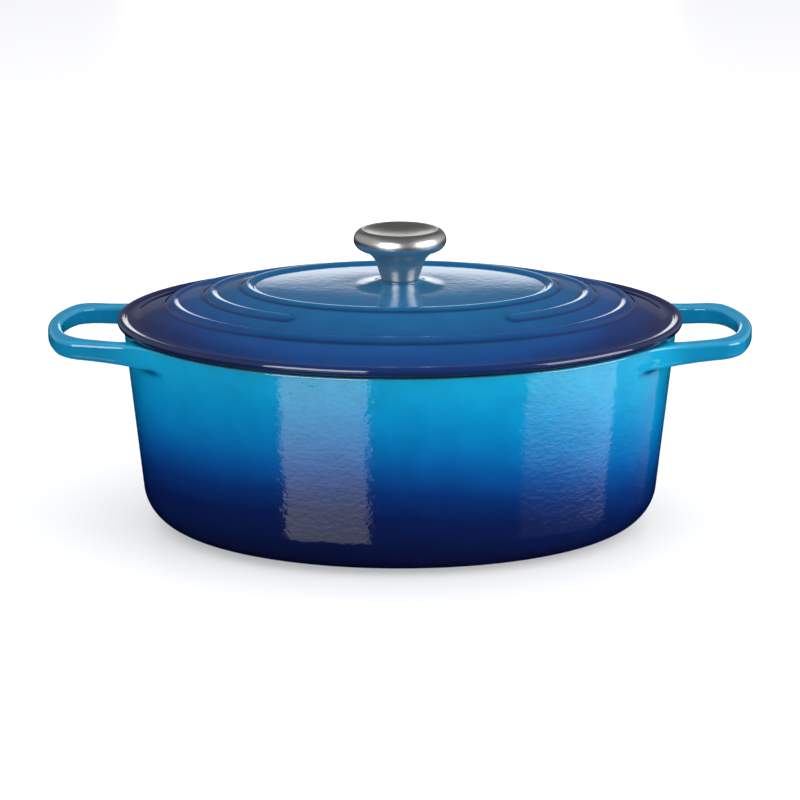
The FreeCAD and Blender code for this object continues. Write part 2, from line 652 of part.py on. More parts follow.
def knob_body_profile(body):
    """Pressed shell: straight neck, flared throat and a rolled grip edge, one wall thick."""
    sketch = new_sketch(body, "profile", "XZ_Plane")
    seat = SIZE["pedestal_top_height"]
    neck = SIZE["knob_neck_radius"]
    throat = (SIZE["knob_throat_radius"], seat + SIZE["knob_throat_height"])
    roll = SIZE["knob_roll_radius"]
    roll_centre = (SIZE["knob_roll_centre"], seat + SIZE["knob_roll_height"])
    wall = SIZE["knob_wall"]
    bore = SIZE["insert_radius"]

    # the throat's arc leaves the neck's line and meets the roll, both without a corner
    slope = math.atan2(SIZE["knob_throat_height"], throat[0] - neck)
    away = (math.sin(slope), -math.cos(slope))
    gap = (throat[0] - roll_centre[0], throat[1] - roll_centre[1])
    lean = away[0] * gap[0] + away[1] * gap[1]
    flare = (gap[0] ** 2 + gap[1] ** 2 - roll ** 2) / (2 * (roll - lean))
    flare_centre = (throat[0] + flare * away[0], throat[1] + flare * away[1])
    meet = math.atan2(roll_centre[1] - flare_centre[1], roll_centre[0] - flare_centre[0])
    lip = math.radians(SIZE["knob_lip_angle"])
    lip_x = roll_centre[0] + roll * math.cos(lip)
    lip_y = roll_centre[1] + roll * math.sin(lip)
    cap_x = SIZE["knob_cap_radius"]
    inner_lip = math.acos((cap_x - roll_centre[0]) / (roll - wall))
    inner_y = roll_centre[1] + (roll - wall) * math.sin(inner_lip)
    shelf_angle = slope + math.pi / 2 - SHELF_START
    shelf_x = flare_centre[0] + (flare + wall) * math.cos(shelf_angle)
    shelf = flare_centre[1] + (flare + wall) * math.sin(shelf_angle)

    neck_line = add_line(sketch, (neck, seat), throat)
    throat_arc = add_arc(sketch, flare_centre, flare, meet, slope + math.pi / 2)
    roll_arc = add_arc(sketch, roll_centre, roll, meet - math.pi, lip)
    lip_line = add_line(sketch, (lip_x, lip_y), (cap_x, lip_y))
    cap_line = add_line(sketch, (cap_x, lip_y), (cap_x, inner_y))
    inner_roll = add_arc(sketch, roll_centre, roll - wall, meet - math.pi, inner_lip)
    inner_throat = add_arc(sketch, flare_centre, flare + wall, meet, shelf_angle)
    shelf_line = add_line(sketch, (shelf_x, shelf), (bore, shelf))
    bore_line = add_line(sketch, (bore, shelf), (bore, seat))
    foot_line = add_line(sketch, (bore, seat), (neck, seat))

    smooth_join(sketch, neck_line, 2, throat_arc, 2)
    smooth_join(sketch, throat_arc, 1, roll_arc, 1)
    join(sketch, roll_arc, 2, lip_line, 1)
    join(sketch, lip_line, 2, cap_line, 1)
    join(sketch, cap_line, 2, inner_roll, 2)
    smooth_join(sketch, inner_roll, 1, inner_throat, 1)
    join(sketch, inner_throat, 2, shelf_line, 1)
    join(sketch, shelf_line, 2, bore_line, 1)
    join(sketch, bore_line, 2, foot_line, 1)
    join(sketch, foot_line, 2, neck_line, 1)
    join(sketch, inner_roll, 3, roll_arc, 3)
    join(sketch, inner_throat, 3, throat_arc, 3)
    for line in (lip_line, shelf_line, foot_line):
        sketch.addConstraint(Sketcher.Constraint("Horizontal", line))
    for line in (cap_line, bore_line):
        sketch.addConstraint(Sketcher.Constraint("Vertical", line))
    bind(sketch, "roll", Sketcher.Constraint("Radius", roll_arc, roll), "dims.knob_roll_radius")
    bind(sketch, "inner", Sketcher.Constraint("Radius", inner_roll, roll - wall),
         "dims.knob_roll_radius - dims.knob_wall")
    place_point(sketch, "neck", neck_line, 1, "dims.knob_neck_radius", "dims.pedestal_top_height")
    place_point(sketch, "throat", neck_line, 2, "dims.knob_throat_radius",
                "dims.pedestal_top_height + dims.knob_throat_height")
    place_point(sketch, "roll", roll_arc, 3, "dims.knob_roll_centre",
                "dims.pedestal_top_height + dims.knob_roll_height")
    place_point(sketch, "cap", cap_line, 1, "dims.knob_cap_radius", None)
    place_point(sketch, "lip", lip_line, 1, None, "dims.pedestal_top_height + dims.knob_lip_height")
    place_point(sketch, "bore", bore_line, 2, "dims.insert_radius", None)
    place_point(sketch, "shelf", shelf_line, 2, None,
                "dims.pedestal_top_height + dims.knob_shelf_height")
    return check(sketch)


def knob_cap_profile(body):
    """Half the section of the dished cap, which fills the mouth of the knob's shell."""
    sketch = new_sketch(body, "profile", "XZ_Plane")
    edge = SIZE["knob_cap_radius"]
    dish = SIZE["knob_dish_depth"]
    wall = SIZE["knob_wall"]
    top = SIZE["pedestal_top_height"] + SIZE["knob_lip_height"] - SIZE["knob_cap_drop"]
    curve = (edge ** 2 + dish ** 2) / (2 * dish)
    centre = (0, top - dish + curve)
    upper_end = math.atan2(top - centre[1], edge)
    under_end = -math.acos(edge / (curve + wall))
    under_y = centre[1] + (curve + wall) * math.sin(under_end)

    upper = add_arc(sketch, centre, curve, -math.pi / 2, upper_end)
    rim = add_line(sketch, (edge, top), (edge, under_y))
    under = add_arc(sketch, centre, curve + wall, -math.pi / 2, under_end)
    axis_line = add_line(sketch, (0, top - dish - wall), (0, top - dish))

    join(sketch, upper, 2, rim, 1)
    join(sketch, rim, 2, under, 2)
    join(sketch, under, 1, axis_line, 1)
    join(sketch, axis_line, 2, upper, 1)
    sketch.addConstraint(Sketcher.Constraint("Vertical", rim))
    sketch.addConstraint(Sketcher.Constraint("PointOnObject", upper, 3, -2))
    sketch.addConstraint(Sketcher.Constraint("PointOnObject", upper, 1, -2))
    sketch.addConstraint(Sketcher.Constraint("PointOnObject", under, 1, -2))
    join(sketch, upper, 3, under, 3)
    rim_height = "dims.pedestal_top_height + dims.knob_lip_height - dims.knob_cap_drop"
    place_point(sketch, "rim", rim, 1, "dims.knob_cap_radius", rim_height)
    place_point(sketch, "dish", upper, 1, None, f"{rim_height} - dims.knob_dish_depth")
    place_point(sketch, "under", under, 1, None,
                f"{rim_height} - dims.knob_dish_depth - dims.knob_wall")
    return check(sketch)


def make_knob_body():
    body = new_body("knob_body")
    add_revolution(body, "shell", knob_body_profile(body))
    return body


def make_knob_cap():
    body = new_body("knob_cap")
    add_revolution(body, "dish", knob_cap_profile(body))
    return body


def make_disc(label, height, radius, bore, length):
    """A round piece with a round hole, such as a bush or a washer."""
    body = new_body(label)
    circles = [(radius, None, None), (bore, None, None)]
    add_pad(body, "disc", circle_sketch(body, "circles", height, circles), length)
    return body


def slot_sketch(body, name, height, left, right, half_width):
    """A slot along X between two stations."""
    sketch = new_sketch(body, name, "XY_Plane", height)
    lines = add_polygon(sketch, DRAFT_SLOT)
    corners = [(left, f"-{half_width}"), (right, f"-{half_width}"), (right, half_width), (left, half_width)]
    for index, (line, (across, up)) in enumerate(zip(lines, corners)):
        place_point(sketch, f"corner{index}", line, 1, across, up)
    return check(sketch)


def make_lock_washer(height):
    body = make_disc("lock_washer", height, "dims.lock_washer_radius", "dims.washer_bore",
                     "dims.washer_thickness")
    slot = slot_sketch(body, "split", height, "0", "2 * dims.lock_washer_radius", "(dims.washer_split / 2)")
    cut(body, "split_cut", slot)
    return body


def make_screw(head_top):
    """Pan-head screw, head down, with a cross recess in the underside of its head."""
    body = new_body("knob_screw")
    bottom = f"{head_top} - dims.screw_head_height"
    head = circle_sketch(body, "head_circle", bottom, [("dims.screw_head_radius", None, None)])
    low = add_pad(body, "head", head, "dims.screw_head_height").Shape.BoundBox.ZMin
    round_edges(body, "head_edge", "dims.screw_head_height / 2", lambda edge: level(edge, low))
    shank = circle_sketch(body, "shank_circle", head_top, [("dims.screw_radius", None, None)])
    add_pad(body, "shank", shank, f"dims.pedestal_top_height + dims.screw_reach - ({head_top})")
    for name, length, width in (("long", "recess_length", "recess_width"),
                                ("cross", "recess_width", "recess_length")):
        slot = slot_sketch(body, name, bottom, f"-dims.{length} / 2", f"dims.{length} / 2",
                           f"dims.{width} / 2")
        cut(body, f"{name}_recess", slot, "dims.recess_depth")
    return body


# ---------------------------------------------------------------- assembly

def write_parts(bodies):
    """Check every object of the document and every piece, then write one file for each piece."""
    doc.recompute()
    for item in doc.Objects:
        if "Invalid" in item.State or "Error" in item.State:
            raise RuntimeError(f"{item.Name} failed: {item.State}")
    os.makedirs("parts", exist_ok=True)
    for body in bodies:
        body.Placement = FreeCAD.Placement()
        shape = body.Shape
        if shape.isNull() or not shape.isValid() or len(shape.Solids) != 1:
            raise RuntimeError(f"{body.Label} isn't one valid solid")
        shape.exportStep(f"parts/{body.Label}.step")
        print(f"{body.Label:12} {shape.Volume:10.0f} mm3")


fill_sheet()
washer_seat = "(dims.inner_ring_base - dims.lid_thickness)"
flat_washer_low = f"({washer_seat} - dims.washer_thickness)"
lock_washer_low = f"({washer_seat} - 2 * dims.washer_thickness)"
write_parts([
    make_pot(),
    make_lid(),
    make_knob_body(),
    make_knob_cap(),
    make_disc("knob_insert", "dims.pedestal_top_height", "dims.insert_radius", "dims.screw_radius",
              "dims.insert_length"),
    make_disc("flat_washer", flat_washer_low, "dims.flat_washer_radius", "dims.washer_bore",
              "dims.washer_thickness"),
    make_lock_washer(lock_washer_low),
    make_screw(lock_washer_low),
])
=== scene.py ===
import math

import bpy
import numpy as np
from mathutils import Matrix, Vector
from mathutils.geometry import delaunay_2d_cdt


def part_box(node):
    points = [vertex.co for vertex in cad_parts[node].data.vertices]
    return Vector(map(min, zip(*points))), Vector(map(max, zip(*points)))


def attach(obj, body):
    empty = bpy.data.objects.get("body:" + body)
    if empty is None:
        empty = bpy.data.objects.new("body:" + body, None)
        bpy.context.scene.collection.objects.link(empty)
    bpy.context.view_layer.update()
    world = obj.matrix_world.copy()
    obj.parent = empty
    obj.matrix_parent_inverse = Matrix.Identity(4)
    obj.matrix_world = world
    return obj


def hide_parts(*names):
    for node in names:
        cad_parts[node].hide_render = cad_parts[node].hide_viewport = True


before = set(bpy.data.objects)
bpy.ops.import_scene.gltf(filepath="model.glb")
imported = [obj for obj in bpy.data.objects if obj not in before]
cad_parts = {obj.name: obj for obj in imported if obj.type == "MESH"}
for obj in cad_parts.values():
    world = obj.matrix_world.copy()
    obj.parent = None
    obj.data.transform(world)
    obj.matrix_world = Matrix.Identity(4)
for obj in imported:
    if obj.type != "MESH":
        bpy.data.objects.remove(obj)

# The looks of the oval cast iron dutch oven: smooth enamelled castings and a brushed steel knob.
# Lengths inside the shape functions are millimetres, and meshes are made in metres. X runs along
# the handles, -Y is the front and +Z is up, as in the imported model.
MM = 0.001
QUARTER = math.pi / 2
COLUMNS = 480                             # points round each oval of the castings
OUTSIDE, BLACK, PALE = 0, 1, 2            # material numbers of the two castings


def node_box(node):
    """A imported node's lowest and highest corners in millimetres."""
    low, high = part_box(node)
    return low / MM, high / MM


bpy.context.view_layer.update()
_, pot_high = node_box("pot")
lid_low, lid_high = node_box("lid")
knob_low, knob_high = node_box("knob_body")


# ---------------------------------------------------------------- mesh helpers

def make_piece(name, points, faces, body, materials, face_materials=None, normals=None):
    """A smooth mesh object in metres that rides on a body.

    normals has a row for each point, and a row of zeros leaves that normal automatic.
    """
    mesh = bpy.data.meshes.new(name)
    mesh.from_pydata([tuple(p) for p in np.asarray(points) * MM], [], [tuple(f) for f in faces])
    for material in materials:
        mesh.materials.append(material)
    if face_materials is not None:
        mesh.polygons.foreach_set("material_index", np.asarray(face_materials, np.int32))
    mesh.validate()
    mesh.shade_smooth()
    if normals is not None:
        loops = np.zeros(len(mesh.loops), np.int32)
        mesh.loops.foreach_get("vertex_index", loops)
        mesh.normals_split_custom_set(np.asarray(normals)[loops].tolist())
    piece = bpy.data.objects.new(name, mesh)
    bpy.context.scene.collection.objects.link(piece)
    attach(piece, body)
    return piece


def paint(piece, name, values):
    """Give each point a value, which the piece's material reads by this name."""
    attribute = piece.data.attributes.new(name, "FLOAT", "POINT")
    attribute.data.foreach_set("value", values)


def grid_faces(rows, columns, close_rows=False):
    """Quads over rows of points that run right round; row by row, counterclockwise from above."""
    faces = []
    for row in range(rows if close_rows else rows - 1):
        upper = (row + 1) % rows
        for column in range(columns):
            following = (column + 1) % columns
            faces.append((row * columns + column, row * columns + following,
                          upper * columns + following, upper * columns + column))
    return faces


def oval_ring(a, b, z):
    """Points round an oval with half axes a and b, at a height."""
    angle = np.linspace(0, 2 * math.pi, COLUMNS, endpoint=False)
    return np.column_stack([a * np.cos(angle), b * np.sin(angle), np.full(COLUMNS, z)])


def smoothstep(value, low, high):
    """A smooth rise from 0 at low to 1 at high."""
    t = np.clip((value - low) / (high - low), 0.0, 1.0)
    return t * t * (3 - 2 * t)


def smooth_curve(stations, positions):
    """Monotone cubic through stations (first column against the others), read at some positions."""
    stations = np.asarray(sorted(stations), float)
    x = stations[:, 0]
    result = [np.asarray(positions, float)]
    for column in range(1, stations.shape[1]):
        y = stations[:, column]
        slope = np.diff(y) / np.diff(x)
        tangent = np.zeros_like(y)
        same = slope[1:] * slope[:-1] > 0
        tangent[1:-1][same] = (2 * slope[1:] * slope[:-1] / (slope[1:] + slope[:-1] + 1e-12))[same]
        tangent[0], tangent[-1] = slope[0], slope[-1]
        i = np.clip(np.searchsorted(x, positions) - 1, 0, len(x) - 2)
        width = x[i + 1] - x[i]
        t = (positions - x[i]) / width
        result.append((2 * t**3 - 3 * t**2 + 1) * y[i] + (t**3 - 2 * t**2 + t) * width * tangent[i]
                      + (3 * t**2 - 2 * t**3) * y[i + 1] + (t**3 - t**2) * width * tangent[i + 1])
    return np.stack(result, axis=-1)


def stepped(*spans):
    """Positions from (start, end, step) spans laid end to end."""
    lines = []
    for start, end, step in spans:
        lines.extend(np.linspace(start, end, max(1, round((end - start) / step)), endpoint=False))
    return np.array(lines + [spans[-1][1]])


def oval_distance(x, y, a, b):
    """Signed distance to an oval with half axes a and b, close to the true one near the oval."""
    least_share, least_slope = 0.05, 1e-4      # these only keep the oval's middle finite
    share = np.maximum(np.sqrt((x / a) ** 2 + (y / b) ** 2), least_share)
    slope = np.sqrt((x / a**2) ** 2 + (y / b**2) ** 2) / share
    return (share - 1) / np.maximum(slope, least_slope)


def rounded_corner(out, down, radius):
    """Signed distance to a corner with a rounding, from the signed distances to its two faces."""
    out = out + radius
    down = down + radius
    inside = np.minimum(np.maximum(out, down), 0)
    outside = np.hypot(np.maximum(out, 0), np.maximum(down, 0))
    return inside + outside - radius


# ---------------------------------------------------------------- pot: the skin as a distance

POT_WIDTH = pot_high.y                    # half the outside width at the shoulder
POT_LENGTH = POT_WIDTH + 36.5             # half the outside length there
SHOULDER = 125.2                          # top of the coloured wall
SHOULDER_RADIUS = 1.6
RIM = 126.8                               # top of the black rim
RIM_INSET = 2.0                           # from the shoulder's outside to the rim's
DRAFT = 12.3 / SHOULDER                   # how fast the wall comes in, going down
BASE_RADIUS = 23.5
WALL = 4.0
FLOOR = 4.5
CAVITY_RADIUS = 19.0
CUT = 122.0                               # height under which the wall and handles are one skin

HANDLE_TIP = pot_high.x
HANDLE_BAR = 8.5                          # width of the loop's bar at its tip
HANDLE_EDGE = 3.2                         # rounding of the handles' lower edges
HANDLE_CREST = 2.9                        # rounding of their upper edges
HANDLE_RISE = 2.1                         # how far the handle's top rises to its tip
HANDLE_LEAN = HANDLE_RISE / (HANDLE_TIP - POT_LENGTH)
HANDLE_ROOT = 160.0                       # station along X where the underside is HANDLE_ROOT_UNDER high
HANDLE_ROOT_UNDER = 111.5
UNDER_LEAN = 5.5 / 57.3                   # how fast the underside climbs towards the tip
HANDLE_REACH = 110.0                      # the handles lie past this along X, and within it along Y
HANDLE_LOWEST = 90.0                      # and over this height
FAR = 60.0                                # stands for the distance to a handle elsewhere

FILLET = 1.3                              # filled inner corner of the casting under a handle
FILLET_GROWTH = 4.5                       # how much wider it is beside the handle
SHADE_AND_POOL_WIDTH = 2.4                          # how far the painted shade and glaze pooling reach from that corner

ARC_START = -1.0                          # radians, past the axis where a quarter outline ends
ARC_OVERLAP = 1e-3                        # radians, so that no gap opens between two arcs


def arc_distance(x, y, centre, radius, start, end, solid_inside):
    """Signed distance to an arc where the point faces it, and infinity elsewhere."""
    dx = x - centre[0]
    dy = y - centre[1]
    angle = np.mod(np.arctan2(dy, dx) - start, 2 * math.pi)
    signed = np.hypot(dx, dy) - radius
    if not solid_inside:
        signed = -signed
    return np.where(angle <= end - start, signed, np.inf)


def nearest(distances):
    """The one of several signed distances that is nearest to zero, point by point."""
    stack = np.stack(distances)
    pick = np.abs(stack).argmin(axis=0)
    return np.take_along_axis(stack, pick[None], axis=0)[0]


def loop_outline_distance(x, y):
    """Signed distance to a quarter of the loops' outer outline: end, corner, flare and root."""
    end_radius, corner, flare = 110.0, 17.5, 85.0
    side, root = 53.0, 72.0
    end_x = HANDLE_TIP - end_radius
    corner_x = end_x + math.sqrt((end_radius - corner) ** 2 - (side - corner) ** 2)
    turn = math.atan2(side - corner, corner_x - end_x)
    sweep = math.acos(1 - (root - side) / flare)
    return nearest([
        arc_distance(x, y, (end_x, 0), end_radius, ARC_START, turn + ARC_OVERLAP, True),
        arc_distance(x, y, (corner_x, side - corner), corner, turn, QUARTER + ARC_OVERLAP, True),
        arc_distance(x, y, (corner_x, side + flare), flare, 3 * QUARTER - sweep, 3 * QUARTER, False),
        np.where(x < corner_x - flare * math.sin(sweep), y - root, np.inf),
    ])


def finger_gap_distance(x, y):
    """Signed distance to a quarter of the finger gaps: shallow end, corner and slanted side."""
    end_radius, slant = 80.0, math.radians(11)
    end_x = HANDLE_TIP - HANDLE_BAR - end_radius
    corner_x, corner_y = 183.2, 20.0
    corner = end_radius - math.hypot(corner_x - end_x, corner_y)
    turn = math.atan2(corner_y, corner_x - end_x)
    side_angle = QUARTER - slant
    across, along = math.cos(side_angle), math.sin(side_angle)
    side = (x - corner_x) * across + (y - corner_y) * along - corner
    beyond = (x - corner_x) * along - (y - corner_y) * across
    return nearest([
        arc_distance(x, y, (end_x, 0), end_radius, ARC_START, turn + ARC_OVERLAP, True),
        arc_distance(x, y, (corner_x, corner_y), corner, turn, side_angle + ARC_OVERLAP, True),
        np.where(beyond < 0, side, np.inf),
    ])


def handle_plan_distance(x, y):
    """Signed distance to the loops seen from above, negative in the metal."""
    x, y = np.abs(x), np.abs(y)
    return np.maximum(loop_outline_distance(x, y), -finger_gap_distance(x, y))


def wall_distance(x, y, z):
    """Signed distance to the drafted oval wall with its rounded bottom corner."""
    inset = DRAFT * (SHOULDER - z)
    wall = oval_distance(x, y, POT_LENGTH - inset, POT_WIDTH - inset)
    return rounded_corner(wall, -z, BASE_RADIUS)


def lift(x):
    """How far the handle's top has risen over the shoulder at a station along X."""
    return HANDLE_LEAN * np.maximum(np.abs(x) - POT_LENGTH, 0)


def skin_parts(x, y, level):
    """Signed distances to the wall and to the handles, and the height over the handles' underside.

    level is the height less the lift.
    """
    z = level + lift(x)
    plan = np.full(x.shape, FAR)
    near = (np.abs(x) > HANDLE_REACH) & (np.abs(y) < HANDLE_REACH) & (z > HANDLE_LOWEST)
    if near.any():
        plan[near] = handle_plan_distance(x[near], y[near])
    under = HANDLE_ROOT_UNDER + UNDER_LEAN * (np.abs(x) - HANDLE_ROOT)
    return wall_distance(x, y, z), rounded_corner(plan, under - z, HANDLE_EDGE), z - under


def skin_distance(x, y, level):
    """Signed distance to the pot's outside without its top."""
    wall, handle, over = skin_parts(x, y, level)
    # the casting's inner corners are filled: widely in plan, tightly under the handle
    blend = FILLET + FILLET_GROWTH * smoothstep(over, 1.0, 8.0)
    mix = np.clip(blend - np.abs(wall - handle), 0, None) / blend
    return np.minimum(wall, handle) - mix**2 * blend / 4


def skin_gradient(points, flat=False):
    """How the skin distance grows along each axis; flat leaves out the upward part."""
    step = 0.02
    gradient = np.zeros_like(points)
    for axis in range(2 if flat else 3):
        shift = np.zeros(3)
        shift[axis] = step
        ahead = skin_distance(*(points + shift).T)
        behind = skin_distance(*(points - shift).T)
        gradient[:, axis] = (ahead - behind) / (2 * step)
    return gradient


def settle_on_skin(points, flat=False, rounds=6):
    """Move points along the gradient until they lie on the skin; flat keeps their level."""
    least_steepness = 0.05
    for _ in range(rounds):
        gradient = skin_gradient(points, flat)
        steepness = np.maximum((gradient ** 2).sum(axis=1), least_steepness)
        distance = skin_distance(*points.T)
        points = points - gradient * (distance / steepness)[:, None]
    return points


# ---------------------------------------------------------------- pot: the mesh

def net_points(field, axes):
    """A point in each grid cell that the field's zero surface crosses, and the mask of those cells."""
    inside = field < 0
    cells = [n - 1 for n in field.shape]
    corners = [(i, j, k) for i in (0, 1) for j in (0, 1) for k in (0, 1)]
    window = {c: tuple(slice(c[n], c[n] + cells[n]) for n in range(3)) for c in corners}
    place = np.meshgrid(*axes, indexing="ij")
    total = np.zeros(cells + [3])
    count = np.zeros(cells)
    for corner in corners:
        for axis in range(3):
            if corner[axis]:
                continue
            low = window[corner]
            high = window[tuple(1 if n == axis else corner[n] for n in range(3))]
            cross = inside[low] != inside[high]
            drop = np.where(cross, field[low] - field[high], 1.0)
            share = np.where(cross, field[low] / drop, 0.0)
            for n in range(3):
                start, end = place[n][low], place[n][high]
                total[..., n] += np.where(cross, start + share * (end - start), 0.0)
            count += cross
    used = count > 0
    return total[used] / count[used][:, None], used


def net_quads(inside, used):
    """Quads through the four cells round every grid edge that crosses the surface."""
    number = np.full(used.shape, -1)
    number[used] = np.arange(used.sum())
    quads = []
    for axis in range(3):
        across, up = [n for n in range(3) if n != axis]
        near = [slice(None)] * 3
        near[axis] = slice(0, -1)
        far = [slice(None)] * 3
        far[axis] = slice(1, None)
        start, end = inside[tuple(near)], inside[tuple(far)]
        for leaving in (True, False):
            edge = np.argwhere((start & ~end) if leaving else (~start & end))
            for n in (across, up):
                edge = edge[(edge[:, n] > 0) & (edge[:, n] < used.shape[n])]
            quad = []
            for back_across, back_up in ((0, 0), (1, 0), (1, 1), (0, 1)):
                cell = edge.copy()
                cell[:, across] -= back_across
                cell[:, up] -= back_up
                quad.append(number[tuple(cell.T)])
            quad = np.stack(quad, axis=1)
            quads.append(quad[:, ::-1] if leaving == (axis == 1) else quad)
    return np.concatenate(quads)


def open_loops(faces):
    """The open borders of a face list, each as an ordered ring of point numbers."""
    following = {}
    edges = set()
    for face in faces:
        for a, b in zip(face, np.roll(face, -1)):
            edges.add((int(a), int(b)))
    for a, b in edges:
        if (b, a) not in edges:
            following[b] = a
    loops = []
    while following:
        first, current = following.popitem()
        loop = [first]
        while current != first:
            loop.append(current)
            current = following.pop(current)
        loops.append(loop)
    return loops


def inside_rings(middles, rings):
    """Which points lie inside an odd number of closed rings, by counting crossings to one side."""
    crossings = np.zeros(len(middles), int)
    for ring in rings:
        start = ring[:, :2]
        end = np.roll(start, -1, axis=0)
        for first, second in zip(start, end):
            spans = (first[1] > middles[:, 1]) != (second[1] > middles[:, 1])
            if spans.any():
                share = (middles[spans, 1] - first[1]) / (second[1] - first[1])
                crossings[spans] += middles[spans, 0] < first[0] + share * (second[0] - first[0])
    return crossings % 2 == 1


class Casting:
    """A mesh that is gathered part by part."""

    def __init__(self):
        self.points = []
        self.normals = []
        self.faces = []
        self.materials = []
        self.total = 0

    def add_points(self, points, normals):
        """Add a batch of points and return their numbers."""
        numbers = list(range(self.total, self.total + len(points)))
        self.points.append(points)
        self.normals.append(normals)
        self.total += len(points)
        return numbers

    def add_faces(self, faces, material):
        self.faces.extend(faces)
        self.materials.extend([material] * len(faces))

    def add_band(self, first, second, material):
        """Quads from one ring of point numbers to the next."""
        band = []
        for i in range(len(first)):
            j = (i + 1) % len(first)
            band.append((first[i], first[j], second[j], second[i]))
        self.add_faces(band, material)


def add_skin(casting):
    """The base, wall and handles under the cut; returns their points and open borders."""
    lines = (
        stepped((-220, -138, 1.5), (-138, 138, 3.2), (138, 220, 1.5)),
        stepped((-137, -72, 2.6), (-72, 72, 1.8), (72, 137, 2.6)),
        stepped((-2.5, 25, 2.5), (25, 101, 3.8), (101, CUT, 1.0)),
    )
    field = skin_distance(*np.meshgrid(*lines, indexing="ij"))
    points, used = net_points(field, lines)
    faces = net_quads(field < 0, used)
    top_layer = np.nonzero(used)[2] == used.shape[2] - 1
    points = settle_on_skin(points)
    points[top_layer, 2] = CUT
    points[top_layer] = settle_on_skin(points[top_layer], flat=True)
    normals = skin_gradient(points)
    # the lift is added at the end, so the handles' normals lean with it
    lean = np.where(np.abs(points[:, 0]) > POT_LENGTH, HANDLE_LEAN, 0)
    normals[:, 0] -= normals[:, 2] * np.sign(points[:, 0]) * lean
    casting.add_points(points, normals)
    casting.add_faces([tuple(face) for face in faces.tolist()], OUTSIDE)
    return points, open_loops(faces)


def raised_ring(ring, radius, share):
    """A border moved up the wall by a share of the way to where the crest's rounding starts."""
    raised = ring.copy()
    raised[:, 2] = CUT + (SHOULDER - radius - CUT) * share
    return settle_on_skin(raised, flat=True, rounds=4)


def add_crest(casting, ring, numbers):
    """Climb from an open border and turn over a rounded edge; returns the top ring's numbers."""
    growth = smoothstep(np.abs(ring[:, 0]), POT_LENGTH - 12, POT_LENGTH + 10)
    radius = SHOULDER_RADIUS + (HANDLE_CREST - SHOULDER_RADIUS) * growth
    halfway = raised_ring(ring, radius, 0.5)
    rings = [(halfway, skin_gradient(halfway))]
    raised = raised_ring(ring, radius, 1.0)
    outward = skin_gradient(raised)
    flat_out = outward[:, :2] / np.linalg.norm(outward[:, :2], axis=1)[:, None]
    for turn in np.linspace(0, QUARTER, 6):
        row = raised.copy()
        row[:, :2] -= flat_out * (radius * (1 - math.cos(turn)))[:, None]
        row[:, 2] += radius * math.sin(turn)
        upward = outward[:, 2] * math.cos(turn) + math.sin(turn)
        rings.append((row, np.column_stack([flat_out * math.cos(turn), upward])))
    for points, normals in rings:
        following = casting.add_points(points, normals)
        casting.add_band(numbers, following, OUTSIDE)
        numbers = following
    return numbers


def add_top_face(casting, rings):
    """Flat triangles between the crests and the rim's foot, given as rings of point numbers."""
    points = np.concatenate(casting.points)
    numbers = []
    borders = []
    for ring in rings:
        start, count = len(numbers), len(ring)
        borders += [(start + i, start + (i + 1) % count) for i in range(count)]
        numbers += ring
    flat_points = [Vector(points[number][:2]) for number in numbers]
    found, _, triangles, origin, _, _ = delaunay_2d_cdt(flat_points, borders, [], 0, 1e-5)
    corners = np.array([[found[i][:] for i in triangle] for triangle in triangles])
    kept = inside_rings(corners.mean(axis=1), [points[ring] for ring in rings])
    to_number = [numbers[group[0]] if group else -1 for group in origin]
    faces = [tuple(to_number[i] for i in triangle) for triangle, keep in zip(triangles, kept) if keep]
    casting.add_faces(faces, OUTSIDE)


def rim_profile():
    """Rings from the rim's foot to the floor: inset from the shoulder's oval, height, material."""
    outer_round, inner_round, lean, foot_height = 0.4, 0.8, 0.1, 0.5
    profile = [(RIM_INSET, SHOULDER + foot_height, BLACK), (RIM_INSET + lean, RIM - outer_round, BLACK)]
    for turn in np.linspace(0.3, QUARTER, 4):
        inset = RIM_INSET + lean + outer_round * (1 - math.cos(turn))
        profile.append((inset, RIM - outer_round * (1 - math.sin(turn)), BLACK))
    for turn in np.linspace(0, QUARTER, 5):
        inset = WALL - inner_round * (1 - math.sin(turn))
        profile.append((inset, RIM - inner_round * (1 - math.cos(turn)), BLACK))
    corner_top = FLOOR + CAVITY_RADIUS
    for z in np.linspace(RIM - inner_round, corner_top, 14)[1:]:
        profile.append((WALL + DRAFT * (RIM - z), z, PALE))
    corner_inset = WALL + DRAFT * (RIM - corner_top)
    for turn in np.linspace(0, QUARTER, 11)[1:]:
        inset = corner_inset + CAVITY_RADIUS * (1 - math.cos(turn))
        profile.append((inset, corner_top - CAVITY_RADIUS * math.sin(turn), PALE))
    return profile


def add_rim_and_inside(casting, numbers):
    """From the rim's foot over the rim, down the inside and across the floor to its middle."""
    rings = []
    for inset, z, material in rim_profile():
        a, b = POT_LENGTH - inset, POT_WIDTH - inset
        rings.append((oval_ring(a, b, z), material))
    for share in (0.85, 0.65, 0.45, 0.25, 0.08):
        rings.append((oval_ring(a * share, b * share, FLOOR), PALE))
    for ring, material in rings:
        following = casting.add_points(ring, np.zeros_like(ring))
        casting.add_band(numbers, following, material)
        numbers = following
    middle = casting.add_points(np.array([[0.0, 0.0, FLOOR]]), np.zeros((1, 3)))[0]
    casting.add_faces([(numbers[i], numbers[(i + 1) % COLUMNS], middle) for i in range(COLUMNS)], PALE)


def painted_corner_shade_and_pooling(points):
    """How dark the corner between the wall and a handle's underside is painted, from 0 to 1: painted shade
    with glaze pooling.
    """
    wall, handle, over = skin_parts(*points.T)
    away = np.maximum(np.abs(wall), np.abs(handle)) / SHADE_AND_POOL_WIDTH
    return np.exp(-away**2) * (1 - smoothstep(over, 0.5, 3.0))


